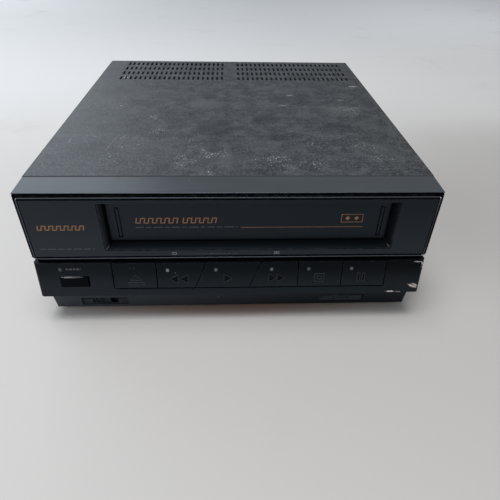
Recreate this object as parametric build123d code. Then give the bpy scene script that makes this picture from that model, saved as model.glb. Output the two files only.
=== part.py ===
from build123d import *
import math
import os

# A compact front-loading video cassette player: a sheet-metal cover over a moulded tray, a front
# bezel with a top-hinged cassette door, a leaning control panel and a tape deck inside.
# Everything is built in face coordinates: X to the right from the middle, Y back from the plane
# of the upper face, Z up from the bottom edge of the upper section. write() moves each piece to
# the part's own frame, whose origin is the middle of the footprint, on the ground.

# ---- driving dimensions (mm) -------------------------------------------------------------------

# casing
WIDTH = 300.0
SHEET = 1.0                 # steel sheet of the cover and the rear plate
WALL = 2.5                  # wall of the mouldings
BEZEL_INSET = 0.5           # bezel's ends inside the cover's sides
FACE_HEIGHT = 56.0          # upper face
STRIP_DEPTH = 22.5          # bezel's top strip, front to back
STRIP_RISE = 0.9            # the strip climbs by this towards the back
COVER_RISE = 1.3            # cover's top above the bezel's front edge
COVER_GROOVE = 0.5
COVER_LENGTH = 311.5
CORNER = 2.5
NECK = 3.5                  # dark gap between the two front sections
NECK_INSET = 2.4
NECK_SETBACK = 3.0
PANEL_HEIGHT = 29.9
PANEL_TOP_PROUD = 1.0       # control panel leans out from here ...
PANEL_FOOT_PROUD = 5.0      # ... to here
PANEL_WALL = 2.2
BASE_HEIGHT = 22.6
BASE_INSET = 4.5
CHIN_TOP_SETBACK = 2.0      # chin leans back from here ...
CHIN_FOOT_SETBACK = 7.0     # ... to here
FOOT_HEIGHT = 4.0
FOOT_RADIUS = 9.0
FOOT_STUB_RADIUS = 3.0
FOOT_MARGIN_X = 26.0
FOOT_MARGIN_FRONT = 32.0
FOOT_MARGIN_REAR = 28.0
TRAY_FLOOR = 2.2
TRAY_WALL_RISE = 76.0       # tray's side walls above its bottom
REAR_INSET = 3.0            # rear plate sits inside the cover's rear edge
REAR_SHEET = 1.5
PLUG_REACH = 10.0           # aerial sockets stand out from the rear plate

# face panel and cassette mouth
RIM_SIDE = 2.6
RIM_TOP = 5.0
RIM_FOOT = 1.6
PANEL_GAP = 0.2
FACE_SHEET = 2.2
FACE_RECESS = 0.3
LEDGE = 2.0
LEDGE_DEPTH = 1.5
SLOT_X = 13.0               # the mouth is right of the middle
SLOT_WIDTH = 209.0
SLOT_FLOOR = 10.0
SLOT_ROOF = 46.5
MOUTH_MARGIN = 2.5          # the mouth flares by this at the sides and the bottom
MOUTH_ROOF_MARGIN = 1.0
MOUTH_DEPTH = 2.4
TUNNEL_DEPTH = 17.0
TUNNEL_WALL = 1.8

# cassette door
DOOR_SIDE_GAP = 2.0
DOOR_SETBACK = 10.5
DOOR_THICKNESS = 3.0
DOOR_FOOT_GAP = 1.0
DOOR_PIVOT_Z = 44.2
DOOR_HEAD = 1.2             # door above its pivot
DOOR_PLATE_FROM_END = 9.5
DOOR_PLATE_SHEET = 1.0
DOOR_PLATE_MARGIN = 1.6
GROOVE_FROM_END = 4.5       # groove with its bar, from the end of the door
GROOVE_WIDTH = 3.8
GROOVE_HEIGHT = 27.0
GROOVE_DEPTH = 1.2
GROOVE_BAR = 1.5
HINGE_RADIUS = 0.9
HINGE_GRIP = 6.0
HINGE_CLEARANCE = 0.05
EAR_RADIUS = 3.2
EAR_THICKNESS = 2.2
SPRING_WIRE = 0.4
SPRING_PITCH = 0.5
SPRING_TURNS = 2.5
SPRING_CLEARANCE = 0.35

# control panel and buttons
BUTTON_ROW_FROM_LEFT = 58.5
BUTTON_ROW_FROM_RIGHT = 30.5
BUTTON_ROW_FOOT = -26.0
BUTTON_GAP = 0.8
BUTTON_EDGE_GAP = 0.4
BUTTON_PROUD = 0.6
BUTTON_BACK = 7.0
BUTTON_WALL = 1.6
BUTTON_SLANT = 4.5          # half of the slant of the cuts beside the play button
NOTCH_BACK = 9.5
BUTTON_CUTS = {             # middle of each cut between two buttons, and its slant
    "eject": (-58.6, 0.0),
    "rewind": (-24.8, BUTTON_SLANT),
    "play": (17.6, BUTTON_SLANT),
    "fast_forward": (51.0, 0.0),
    "stop": (85.4, 0.0),
}
BUTTON_TRAVEL = 1.5
STEM_RADIUS = 2.0
STEM_GAP = 0.3
LENS_WIDTH = 2.4
LENS_HEIGHT = 3.0
LENS_GAP = 0.1
LENS_Z = -10.2
LENS_X = (-50.0, -13.0, 30.2, 59.1, 92.7)
POWER_LENS_OFFSET = 9.1      # left of the power button's middle
POWER_LENS_Z = -9.2
POWER_FROM_SIDE = 28.1
POWER_Z = -20.0
POWER_WIDTH = 20.6
POWER_HEIGHT = 9.2
POWER_GAP = 0.4
POWER_GAP_RIGHT = 1.4
POWER_TRAVEL = 3.0
KEY_BOARD_Y = 14.0
KEY_BOARD_SHEET = 1.6
KEY_BOARD_MARGIN = 4.0
KEY_BOARD_SIDE_GAP = 5.0
KEY_BOSS_RADIUS = 3.0
KEY_BOSS_FROM_SIDE = 10.0
SWITCH_SIZE = 6.0
SWITCH_DEPTH = 3.5
PLUNGER_RADIUS = 1.6
PLUNGER_LENGTH = 0.8

# controls in the chin
RECESS_WIDTH = 37.5
RECESS_TOP = -44.2
RECESS_FOOT = -53.4
RECESS_BACK = 10.2
LEFT_RECESS_FROM_SIDE = 44.4
RIGHT_RECESS_FROM_SIDE = 58.6
WHEEL_RADIUS = 18.0
WHEEL_THICKNESS = 4.0
WHEEL_STANDOUT = 3.8
WHEEL_GAP = 0.4
WHEEL_PIN_RADIUS = 2.0
WHEEL_RIBS = 48
WHEEL_RIB_DEPTH = 0.5
KNOB_WIDTH = 8.0
KNOB_HEIGHT = 6.0
KNOB_DEPTH = 3.2
KNOB_STEM = 2.4
KNOB_TAB = 10.0
KNOB_TAB_SHEET = 1.4
KNOB_GAP = 0.3
SWITCH_TRAVEL = 12.0

# vents in the cover
VENT_WIDTH = 2.5
VENT_LENGTH = 13.0
VENT_ROWS = 4
VENT_ROW_PITCH = 19.5
VENT_REAR_MARGIN = 13.5
VENT_LEFT_MARGIN = 25.5
VENT_RIGHT_MARGIN = 15.2
VENT_BANK_GAP = 19.0        # plain sheet between the two banks, middle to middle
VENT_COLUMNS = (22, 24)     # columns of slots in the left and right bank

# tape deck
DECK_HALF_WIDTH = 110.0
DECK_FRONT = 48.0
DECK_REAR = 262.0
DECK_TOP = -16.4
DECK_SHEET = 1.6
RUNNING = 0.05              # radial clearance of a shaft in its hole
SEAT_GAP = 0.3              # between a turning piece and what it runs over
PIVOT_RADIUS = 2.0
BOARD_SEAT = -46.0
BOARD_SHEET = 1.6
BOARD_SIDE_GAP = 5.0
BOARD_FRONT = 46.0
BOARD_REAR_GAP = 12.0
BOSS_RADIUS = 4.0
BOSS_SHOULDER = 7.0
BOSS_X = 100.0
BOSS_FRONT = 58.0
BOSS_REAR = 250.0

# drum
DRUM_Y = 180.0
DRUM_RADIUS = 31.0
DRUM_TILT = 5.0
DRUM_LOWER = 17.0
DRUM_GAP = 0.3
DRUM_UPPER = 18.0
DRUM_CUP = 4.0
DRUM_RIM = 4.0
DRUM_SHAFT_RADIUS = 3.0
DRUM_SHAFT_FOOT = 4.0
DRUM_SHAFT_HEAD = 2.5

# capstan, pulley and belt
CAPSTAN_X = 60.0            # from the middle of the deck
CAPSTAN_Y = 146.0
CAPSTAN_RADIUS = 1.5
CAPSTAN_HEAD = 14.0
BEARING_RADIUS = 4.0
BEARING_HEAD = -8.6
BEARING_FOOT = -19.5
FLYWHEEL_RADIUS = 24.0
FLYWHEEL_TOP = -26.0
FLYWHEEL_FOOT = -34.0
STATOR_RADIUS = 20.0
STATOR_GAP = 0.6
PULLEY_TOP = -20.2
CAPSTAN_PULLEY_RADIUS = 8.0
DRIVE_PULLEY_RADIUS = 12.0
BELT_WIDTH = 2.0
BELT_THICKNESS = 1.2

# pinch roller
PINCH_X = 88.0
PINCH_Y = 160.0
PINCH_ARM = 25.0
PINCH_ARM_ANGLE = 169.0
PINCH_ROLLER_RADIUS = 7.0
PINCH_ROLLER_FOOT = -8.0
PINCH_ROLLER_HEAD = 10.0
ARM_SHEET = 1.4
ARM_WIDTH = 8.0

# reels and idler
REEL_SPREAD = 46.0
REEL_Y = 71.0
REEL_RADIUS = 20.0
REEL_DISC_FOOT = -13.0
REEL_DISC_HEAD = -9.8
REEL_HUB_RADIUS = 9.0
REEL_SPINDLE_RADIUS = 4.0
REEL_SPINDLE_HEAD = 4.0
REEL_FINS = 3
REEL_FIN_REACH = 2.6
REEL_FIN_WIDTH = 1.6
IDLER_Y = 101.0
IDLER_ARM = 30.0
IDLER_RADIUS = 14.0

# loading drive
TOOTH_TIP = 0.8
TOOTH_ROOT = 1.2
TOOTH_TIP_SHARE = 0.10
TOOTH_ROOT_SHARE = 0.29
MESH_GAP = 0.1
CAM_X = -68.0
CAM_Y = 215.0
CAM_TEETH = 48
PINION_TEETH = 12
GEAR_MODULE = 1.0
GEAR_THICKNESS = 4.0
LOADING_MOTOR_RADIUS = 12.0
LOADING_MOTOR_LENGTH = 20.0
MOTOR_SHAFT_RADIUS = 1.0
GUIDE_START = (30.0, 118.0)
GUIDE_END = (44.0, 185.0)
GUIDE_BASE = (12.0, 15.0, 3.0)
GUIDE_TONGUE_RADIUS = 2.2
GUIDE_SLOT_WIDTH = 5.0
GUIDE_ROLLER_RADIUS = 3.0
GUIDE_FLANGE_RADIUS = 4.0
GUIDE_HEAD = 10.0
GUIDE_DISC = 1.6

# other deck pieces
TENSION_X = -80.0
TENSION_Y = 140.0
TENSION_ARM = 29.0
TENSION_ANGLE = -31.0
TENSION_POST_RADIUS = 1.5
ERASE_HEAD_PLACE = (-64.0, 178.0)
AUDIO_HEAD_PLACE = (64.0, 186.0)
HEAD_SIZE = 12.0
HEAD_TOP = 11.0

# cassette carriage
FRAME_INNER = 103.0         # inner face of each side frame, from the middle of the deck
FRAME_SHEET = 1.6
FRAME_FRONT = 48.0
FRAME_REAR = 162.0
FRAME_TOP = 44.0
BRIDGE_FRONT = 140.0
SLIDER_OUTER = 102.2
SLIDER_SHEET = 1.5
SLIDER_FRONT = 52.0
SLIDER_REAR = 112.0
SLIDER_TOP = 40.0
SLIDER_FOOT = 5.0
SLIDER_PIN_Z = 24.0
SLIDER_PINS = (57.0, 105.0)
CARRIAGE_TRAVEL = 45.0
HOLDER_OUTER = 98.5
HOLDER_SHEET = 1.4
HOLDER_FRONT = 53.0
HOLDER_REAR = 87.0
HOLDER_TOP = 40.5
HOLDER_FOOT = 11.0
HOLDER_LIP = 14.0
HOLDER_PINS = (66.0, 80.0)
HOLDER_PIN_Z = 33.0
HOLDER_DROP = 20.0
GUIDE_PIN_RADIUS = 2.0
SLIDE_CLEARANCE = 0.1
DRIVE_TEETH = 16
DRIVE_GEAR_Y = 108.0
DRIVE_GEAR_THICKNESS = 1.5

# electrics
TRANSFORMER_FROM_SIDE = 31.0
TRANSFORMER_FROM_REAR = 36.0
TRANSFORMER_CORE = (42.0, 30.0, 38.0)
TRANSFORMER_COIL = (28.0, 46.0, 26.0)
HEATSINK_X = -60.0
HEATSINK_FROM_REAR = 28.0
HEATSINK_SIZE = (44.0, 12.0, 30.0)
HEATSINK_FINS = 7
HEATSINK_WEB = 3.0
HEATSINK_FIN_WIDTH = 2.0
LEFT_CAPACITORS = ((28.0, 80.0, 8.0, 26.0), (26.0, 102.0, 6.5, 20.0), (28.0, 122.0, 5.0, 16.0))
RIGHT_CAPACITORS = ((22.0, 62.0, 5.0, 14.0), (22.0, 104.0, 5.0, 14.0))
# capacitors: distance from the side, distance from the rear, radius, height
MODULATOR_FROM_SIDE = 58.0
MODULATOR_SIZE = (48.0, 28.0, 30.0)
SOCKET_Z = -30.0
SOCKET_RADIUS = 4.75
SOCKET_BORE = 1.5
SOCKET_SPREAD = 24.0
JACK_X = 20.0
JACK_SPREAD = 18.0
JACK_RADIUS = 4.15
JACK_BORE = 1.7
JACK_REACH = 8.5
JACK_BLOCK = (38.0, 10.0, 20.0)
CONNECTOR_COLLAR = 0.8       # wider part of a connector where it passes the rear plate
GLAND_FROM_SIDE = 32.0
GLAND_Z = -34.0
GLAND_RADIUS = 6.0
GLAND_FLANGE = 8.0
GLAND_BORE = 3.4
GLAND_REACH = 5.0
GLAND_FLANGE_SHEET = 2.0

# screws
SCREW_RADIUS = 1.5
SCREW_HEAD_RADIUS = 3.2
SCREW_HEAD_HEIGHT = 1.2
SCREW_LENGTH = 6.0
SCREW_GAP = 0.02
COVER_SCREW_FRONT = 70.0
COVER_SCREW_FROM_REAR = 64.5
COVER_SCREW_Z = -8.0
REAR_SCREW_FROM_SIDE = 16.0
REAR_SCREW_Z = -20.0
REAR_POST = 9.0
PLATE_SHEET = 1.0
PLATE_HALF_WIDTH = 104.0
PLATE_FRONT = 70.0
PLATE_REAR = 240.0
PLATE_LIP = 9.0
PLATE_SLOTS = 12
PLATE_SLOT_PITCH = 12.0
PLATE_SLOT = (60.0, 3.5)
PLATE_SLOT_X = 62.0

# ---- worked out from the driving dimensions ----------------------------------------------------

COVER_FRONT = STRIP_DEPTH + COVER_GROOVE
COVER_REAR = COVER_FRONT + COVER_LENGTH
COVER_TOP = FACE_HEIGHT + COVER_RISE
PANEL_TOP = -NECK
PANEL_FOOT = PANEL_TOP - PANEL_HEIGHT
BASE_FOOT = PANEL_FOOT - BASE_HEIGHT
GROUND = BASE_FOOT - FOOT_HEIGHT
REAR_FACE = COVER_REAR - REAR_INSET
TRAY_REAR = REAR_FACE - REAR_SHEET
DEPTH = PANEL_FOOT_PROUD + REAR_FACE + PLUG_REACH
FACE_Y = PANEL_FOOT_PROUD - DEPTH / 2
SEAM_Z = -GROUND

BEZEL_WIDTH = WIDTH - 2 * BEZEL_INSET
BUTTON_ROW_LEFT = BUTTON_ROW_FROM_LEFT - WIDTH / 2
BUTTON_ROW_RIGHT = WIDTH / 2 - BUTTON_ROW_FROM_RIGHT
POWER_X = POWER_FROM_SIDE - WIDTH / 2
POWER_LENS_X = POWER_X - POWER_LENS_OFFSET
KEY_BOARD_HALF_LENGTH = WIDTH / 2 - KEY_BOARD_SIDE_GAP
KEY_BOSS_X = WIDTH / 2 - KEY_BOSS_FROM_SIDE
LEFT_RECESS_X = LEFT_RECESS_FROM_SIDE - WIDTH / 2
RIGHT_RECESS_X = WIDTH / 2 - RIGHT_RECESS_FROM_SIDE
VENT_FIRST_ROW = COVER_REAR - VENT_REAR_MARGIN - (VENT_ROWS - 1) * VENT_ROW_PITCH
VENT_SPAN = WIDTH - VENT_LEFT_MARGIN - VENT_RIGHT_MARGIN - VENT_BANK_GAP
VENT_PITCH = VENT_SPAN / (sum(VENT_COLUMNS) - len(VENT_COLUMNS))
VENT_STARTS = (
    VENT_LEFT_MARGIN - WIDTH / 2,
    WIDTH / 2 - VENT_RIGHT_MARGIN - (VENT_COLUMNS[1] - 1) * VENT_PITCH,
)
COVER_SCREW_Y = (COVER_SCREW_FRONT, COVER_REAR - COVER_SCREW_FROM_REAR)
REAR_SCREW_X = WIDTH / 2 - REAR_SCREW_FROM_SIDE
COVER_INSIDE = WIDTH / 2 - SHEET
TRAY_OUTSIDE = WIDTH / 2 - BASE_INSET
TRAY_INSIDE = TRAY_OUTSIDE - WALL
TRAY_TOP = BASE_FOOT + TRAY_WALL_RISE
BOARD_HALF_WIDTH = TRAY_INSIDE - BOARD_SIDE_GAP
BOARD_REAR = TRAY_REAR - BOARD_REAR_GAP
TRANSFORMER_X = TRANSFORMER_FROM_SIDE - WIDTH / 2
TRANSFORMER_Y = TRAY_REAR - TRANSFORMER_FROM_REAR
HEATSINK_Y = TRAY_REAR - HEATSINK_FROM_REAR
MODULATOR_X = WIDTH / 2 - MODULATOR_FROM_SIDE
GLAND_X = GLAND_FROM_SIDE - WIDTH / 2
FLOOR_TOP = BASE_FOOT + TRAY_FLOOR
DOOR_WIDTH = SLOT_WIDTH - 2 * DOOR_SIDE_GAP
DOOR_PLATE_HALF_WIDTH = DOOR_WIDTH / 2 - DOOR_PLATE_FROM_END
GROOVE_OFFSET = DOOR_WIDTH / 2 - GROOVE_FROM_END
DOOR_FOOT = SLOT_FLOOR + DOOR_FOOT_GAP
DOOR_TOP = DOOR_PIVOT_Z + DOOR_HEAD
DOOR_BACK = DOOR_SETBACK + DOOR_THICKNESS
DOOR_PIVOT_Y = DOOR_SETBACK + DOOR_THICKNESS / 2
DECK_X = SLOT_X
DECK_FOOT = DECK_TOP - DECK_SHEET
BOARD_TOP = BOARD_SEAT + BOARD_SHEET
PANEL_LEAN = (PANEL_FOOT_PROUD - PANEL_TOP_PROUD) / PANEL_HEIGHT
SWITCH_FACE = KEY_BOARD_Y - SWITCH_DEPTH - PLUNGER_LENGTH
WHEEL_Z = (RECESS_TOP + RECESS_FOOT) / 2
WHEEL_Y = RECESS_BACK - WHEEL_STANDOUT + WHEEL_RADIUS
KNOB_REST_X = LEFT_RECESS_X - SWITCH_TRAVEL / 2
CAM_PITCH_RADIUS = CAM_TEETH * GEAR_MODULE / 2
PINION_PITCH_RADIUS = PINION_TEETH * GEAR_MODULE / 2
PINION_Y = CAM_Y + CAM_PITCH_RADIUS + PINION_PITCH_RADIUS + MESH_GAP
DRIVE_PITCH_RADIUS = DRIVE_TEETH * GEAR_MODULE / 2
DRIVE_GEAR_Z = SLIDER_FOOT - TOOTH_ROOT * GEAR_MODULE - DRIVE_PITCH_RADIUS - MESH_GAP
BUTTON_TOP = PANEL_TOP - SEAT_GAP
MODULATOR_Y = TRAY_REAR - MODULATOR_SIZE[1] / 2
JACK_Y = TRAY_REAR - JACK_BLOCK[1] / 2


# ---- simple shapes -----------------------------------------------------------------------------

def block(x0, x1, y0, y1, z0, z1):
    """A box between two corners."""
    return Pos((x0 + x1) / 2, (y0 + y1) / 2, (z0 + z1) / 2) * Box(x1 - x0, y1 - y0, z1 - z0)


def wide_block(half_width, y0, y1, z0, z1, middle=0.0):
    """A box placed evenly about a plane x = middle."""
    return block(middle - half_width, middle + half_width, y0, y1, z0, z1)


def sized_block(x, y, z_foot, size):
    """A box of the given size standing at (x, y) on z_foot."""
    width, depth, height = size
    return Pos(x, y, z_foot + height / 2) * Box(width, depth, height)


def post(x, y, radius, z0, z1):
    """An upright cylinder."""
    return Pos(x, y, (z0 + z1) / 2) * Cylinder(radius, z1 - z0)


def rod_x(x0, x1, y, z, radius):
    """A cylinder along X."""
    return Pos((x0 + x1) / 2, y, z) * Rot(0, 90, 0) * Cylinder(radius, abs(x1 - x0))


def rod_y(x, y0, y1, z, radius):
    """A cylinder along Y."""
    return Pos(x, (y0 + y1) / 2, z) * Rot(90, 0, 0) * Cylinder(radius, abs(y1 - y0))


def side_prism(points, half_width, middle=0.0):
    """A prism along X with the given (y, z) outline."""
    outline = Plane.YZ * Polygon(*points, align=None)
    return Pos(middle - half_width, 0, 0) * extrude(outline, amount=2 * half_width, dir=(1, 0, 0))


def front_prism(points, y0, y1):
    """A prism along Y with the given (x, z) outline."""
    outline = Plane.XZ * Polygon(*points, align=None)
    return Pos(0, y0, 0) * extrude(outline, amount=y1 - y0, dir=(0, 1, 0))


def bar(x0, y0, x1, y1, width, z0, z1):
    """A flat bar with round ends between two points, seen from above."""
    length = math.dist((x0, y0), (x1, y1))
    angle = math.degrees(math.atan2(y1 - y0, x1 - x0))
    outline = SlotOverall(length + width, width)
    flat = extrude(outline, amount=z1 - z0)
    return Pos((x0 + x1) / 2, (y0 + y1) / 2, z0) * Rot(0, 0, angle) * flat


def gear(teeth, thickness):
    """A spur gear about Z, standing on z = 0, with thin teeth that run clear of their mates."""
    pitch_radius = teeth * GEAR_MODULE / 2
    tip = pitch_radius + TOOTH_TIP * GEAR_MODULE
    root = pitch_radius - TOOTH_ROOT * GEAR_MODULE
    step = 2 * math.pi / teeth
    points = []
    for tooth in range(teeth):
        corners = (
            (root, -TOOTH_ROOT_SHARE),
            (tip, -TOOTH_TIP_SHARE),
            (tip, TOOTH_TIP_SHARE),
            (root, TOOTH_ROOT_SHARE),
        )
        for radius, share in corners:
            angle = (tooth + share) * step
            points.append((radius * math.cos(angle), radius * math.sin(angle)))
    return extrude(Polygon(*points, align=None), amount=thickness)


def screw(place, direction):
    """A pan-head screw whose head seats at place and whose shank runs along direction."""
    shank = Pos(0, 0, SCREW_LENGTH / 2) * Cylinder(SCREW_RADIUS, SCREW_LENGTH)
    head = Pos(0, 0, -SCREW_HEAD_HEIGHT / 2) * Cylinder(SCREW_HEAD_RADIUS, SCREW_HEAD_HEIGHT)
    slot = Pos(0, 0, -SCREW_HEAD_HEIGHT) * Box(SCREW_HEAD_RADIUS, SCREW_HEAD_HEIGHT / 2,
                                               SCREW_HEAD_HEIGHT)
    return Plane(origin=place, z_dir=direction) * (shank + head - slot)


def screw_hole(place, direction):
    """The hole that a screw passes through, as deep as its shank."""
    shaft = Cylinder(SCREW_RADIUS + SCREW_GAP, SCREW_LENGTH * 2 + SCREW_GAP)
    return Plane(origin=place, z_dir=direction) * shaft


# ---- places shared by several pieces -----------------------------------------------------------

def foot_places():
    """Where the four feet stand."""
    places = []
    for side in (-1, 1):
        places.append((side * (TRAY_OUTSIDE - FOOT_MARGIN_X), FOOT_MARGIN_FRONT))
        places.append((side * (TRAY_OUTSIDE - FOOT_MARGIN_X), TRAY_REAR - FOOT_MARGIN_REAR))
    return places


def boss_places():
    """Where the deck and the board rest on the tray."""
    return [(DECK_X + side * BOSS_X, y) for side in (-1, 1) for y in (BOSS_FRONT, BOSS_REAR)]


def plate_screw_places():
    """Corner screws of the bottom plate."""
    x = PLATE_HALF_WIDTH - PLATE_LIP / 2
    front = PLATE_FRONT + PLATE_LIP / 2
    rear = PLATE_REAR - PLATE_LIP / 2
    return [(side * x, y) for side in (-1, 1) for y in (front, rear)]


def screw_seats():
    """Each screw's seat and direction: cover sides, rear plate, bottom plate."""
    seats = []
    for side in (-1, 1):
        for y in COVER_SCREW_Y:
            seats.append(((side * WIDTH / 2, y, COVER_SCREW_Z), (-side, 0, 0)))
        seats.append(((side * REAR_SCREW_X, REAR_FACE, REAR_SCREW_Z), (0, -1, 0)))
    for x, y in plate_screw_places():
        seats.append(((x, y, BASE_FOOT), (0, 0, 1)))
    return seats


def panel_face(z):
    """Y of the leaning panel face at height z."""
    return -PANEL_TOP_PROUD + (z - PANEL_TOP) * PANEL_LEAN


def leaning_slab(proud, back, top, foot):
    """The space between a face parallel to the panel's and a plane at y = back."""
    outline = [
        (panel_face(top) - proud, top),
        (back, top),
        (back, foot),
        (panel_face(foot) - proud, foot),
    ]
    return side_prism(outline, WIDTH / 2)


# ---- casing ------------------------------------------------------------------------------------

def top_cover():
    """Folded steel cover: top, two sides and a lip under each side, with rows of vent slots."""
    cover = wide_block(WIDTH / 2, COVER_FRONT, COVER_REAR, PANEL_FOOT, COVER_TOP)
    top_edges = cover.edges().filter_by(Axis.Y).group_by(Axis.Z)[-1]
    cover = fillet(top_edges, SHEET * 1.5)
    inside = wide_block(COVER_INSIDE, COVER_FRONT, COVER_REAR, PANEL_FOOT + SHEET, COVER_TOP - SHEET)
    cover -= inside
    cover -= wide_block(TRAY_OUTSIDE, COVER_FRONT, COVER_REAR, PANEL_FOOT, PANEL_FOOT + SHEET)
    slots = Sketch()
    slot = SlotOverall(VENT_LENGTH, VENT_WIDTH, rotation=90)
    for first, columns in zip(VENT_STARTS, VENT_COLUMNS):
        for column in range(columns):
            for row in range(VENT_ROWS):
                place = Pos(first + column * VENT_PITCH, VENT_FIRST_ROW + row * VENT_ROW_PITCH)
                slots += place * slot
    cover -= Pos(0, 0, COVER_TOP - 2 * SHEET) * extrude(slots, amount=3 * SHEET)
    for place, direction in screw_seats():
        if direction[0]:
            cover -= screw_hole(place, direction)
    return cover


def front_bezel():
    """Upper front moulding: top strip, rim round the face and a ledge behind the face panel."""
    top_back = FACE_HEIGHT + STRIP_RISE
    outline = [(0, 0), (STRIP_DEPTH, 0), (STRIP_DEPTH, top_back), (0, FACE_HEIGHT)]
    half = BEZEL_WIDTH / 2
    bezel = side_prism(outline, half)
    bezel = fillet(bezel.edges().filter_by(Axis.Y).group_by(Axis.Z)[0], CORNER)
    front_wall = FACE_RECESS + FACE_SHEET + LEDGE_DEPTH
    bezel -= wide_block(half - WALL, front_wall, STRIP_DEPTH, WALL, FACE_HEIGHT - WALL)
    window_half = half - RIM_SIDE
    window_foot = RIM_FOOT
    window_top = FACE_HEIGHT - RIM_TOP
    bezel -= wide_block(window_half, 0, FACE_RECESS + FACE_SHEET, window_foot, window_top)
    bezel -= wide_block(window_half - LEDGE, 0, STRIP_DEPTH, window_foot + LEDGE, window_top - LEDGE)
    return bezel


def mouth(half_width, foot, roof, y):
    """A rectangle across the cassette mouth at depth y."""
    centre = Plane(origin=(SLOT_X, y, (foot + roof) / 2), x_dir=(1, 0, 0), z_dir=(0, -1, 0))
    return centre * Rectangle(2 * half_width, roof - foot)


def door_axis_rod(x0, x1, radius):
    """A cylinder on the door's hinge line."""
    return rod_x(SLOT_X + x0, SLOT_X + x1, DOOR_PIVOT_Y, DOOR_PIVOT_Z, radius)


def face_panel():
    """Flat face with the flared cassette mouth and the short tunnel that carries the door."""
    half = BEZEL_WIDTH / 2 - RIM_SIDE - PANEL_GAP
    back = FACE_RECESS + FACE_SHEET
    foot = RIM_FOOT + PANEL_GAP
    top = FACE_HEIGHT - RIM_TOP - PANEL_GAP
    panel = wide_block(half, FACE_RECESS, back, foot, top)
    inner = SLOT_WIDTH / 2
    outer = inner + TUNNEL_WALL
    panel += wide_block(outer, back, TUNNEL_DEPTH, SLOT_FLOOR - TUNNEL_WALL,
                        SLOT_ROOF + TUNNEL_WALL, SLOT_X)
    for side in (-1, 1):
        panel += door_axis_rod(side * outer, side * (outer + EAR_THICKNESS), EAR_RADIUS)
    panel -= wide_block(inner, FACE_RECESS, TUNNEL_DEPTH, SLOT_FLOOR, SLOT_ROOF, SLOT_X)
    flare_front = mouth(inner + MOUTH_MARGIN, SLOT_FLOOR - MOUTH_MARGIN,
                        SLOT_ROOF + MOUTH_ROOF_MARGIN, FACE_RECESS)
    flare_back = mouth(inner, SLOT_FLOOR, SLOT_ROOF, FACE_RECESS + MOUTH_DEPTH)
    panel -= loft([flare_front.face(), flare_back.face()])
    reach = outer + EAR_THICKNESS
    panel -= door_axis_rod(-reach, reach, HINGE_RADIUS + HINGE_CLEARANCE)
    return panel


def control_panel():
    """Leaning lower front moulding with the neck above it, the button notch and the power hole."""
    half = WIDTH / 2
    outline = [
        (-PANEL_TOP_PROUD, PANEL_TOP),
        (STRIP_DEPTH, PANEL_TOP),
        (STRIP_DEPTH, PANEL_FOOT),
        (-PANEL_FOOT_PROUD, PANEL_FOOT),
    ]
    panel = side_prism(outline, half)
    corner_edges = panel.edges().filter_by(lambda e: abs(e.center().X) > half - PANEL_WALL)
    panel = fillet(corner_edges.sort_by(Axis.Y)[:2], CORNER)
    hollow = leaning_slab(-PANEL_WALL, STRIP_DEPTH, PANEL_TOP - PANEL_WALL, PANEL_FOOT + PANEL_WALL)
    panel -= hollow & wide_block(half - PANEL_WALL, -WALL, STRIP_DEPTH, PANEL_FOOT, PANEL_TOP)
    neck_half = half - NECK_INSET
    panel += wide_block(neck_half, NECK_SETBACK, STRIP_DEPTH, PANEL_TOP, 0)
    panel -= wide_block(neck_half - WALL, NECK_SETBACK + WALL, STRIP_DEPTH, PANEL_TOP - PANEL_WALL, 0)
    panel -= block(BUTTON_ROW_LEFT - BUTTON_EDGE_GAP, BUTTON_ROW_RIGHT + BUTTON_EDGE_GAP,
                   -2 * PANEL_FOOT_PROUD, NOTCH_BACK, BUTTON_ROW_FOOT - BUTTON_EDGE_GAP, PANEL_TOP)
    panel -= block(POWER_X - POWER_WIDTH / 2 - POWER_GAP, POWER_X + POWER_WIDTH / 2 + POWER_GAP_RIGHT,
                   -2 * PANEL_FOOT_PROUD, NOTCH_BACK, POWER_Z - POWER_HEIGHT / 2 - POWER_GAP,
                   POWER_Z + POWER_HEIGHT / 2 + POWER_GAP)
    panel -= lens_block(POWER_LENS_X, POWER_LENS_Z, 0)
    for side in (-1, 1):
        boss = rod_y(side * KEY_BOSS_X, panel_face(POWER_Z) + PANEL_WALL / 2, KEY_BOARD_Y, POWER_Z,
                     KEY_BOSS_RADIUS)
        panel += boss
    return panel


def recess_cuts():
    """The two recesses in the chin with the slots for the slide switch and the wheel."""
    cuts = []
    for x in (LEFT_RECESS_X, RIGHT_RECESS_X):
        cuts.append(wide_block(RECESS_WIDTH / 2, -WALL, RECESS_BACK, RECESS_FOOT, RECESS_TOP, x))
    back = RECESS_BACK + WALL
    chord = math.sqrt(WHEEL_RADIUS ** 2 - (WHEEL_Y - back) ** 2) + WHEEL_GAP
    half_height = WHEEL_THICKNESS / 2 + WHEEL_GAP
    cuts.append(wide_block(chord, RECESS_BACK, back, WHEEL_Z - half_height, WHEEL_Z + half_height,
                           RIGHT_RECESS_X))
    knob_z = (RECESS_TOP + RECESS_FOOT) / 2
    half_length = SWITCH_TRAVEL / 2 + KNOB_WIDTH / 4 + KNOB_GAP
    half_slot = KNOB_STEM / 2 + KNOB_GAP
    cuts.append(wide_block(half_length, RECESS_BACK, back, knob_z - half_slot, knob_z + half_slot,
                           LEFT_RECESS_X))
    return cuts


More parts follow.
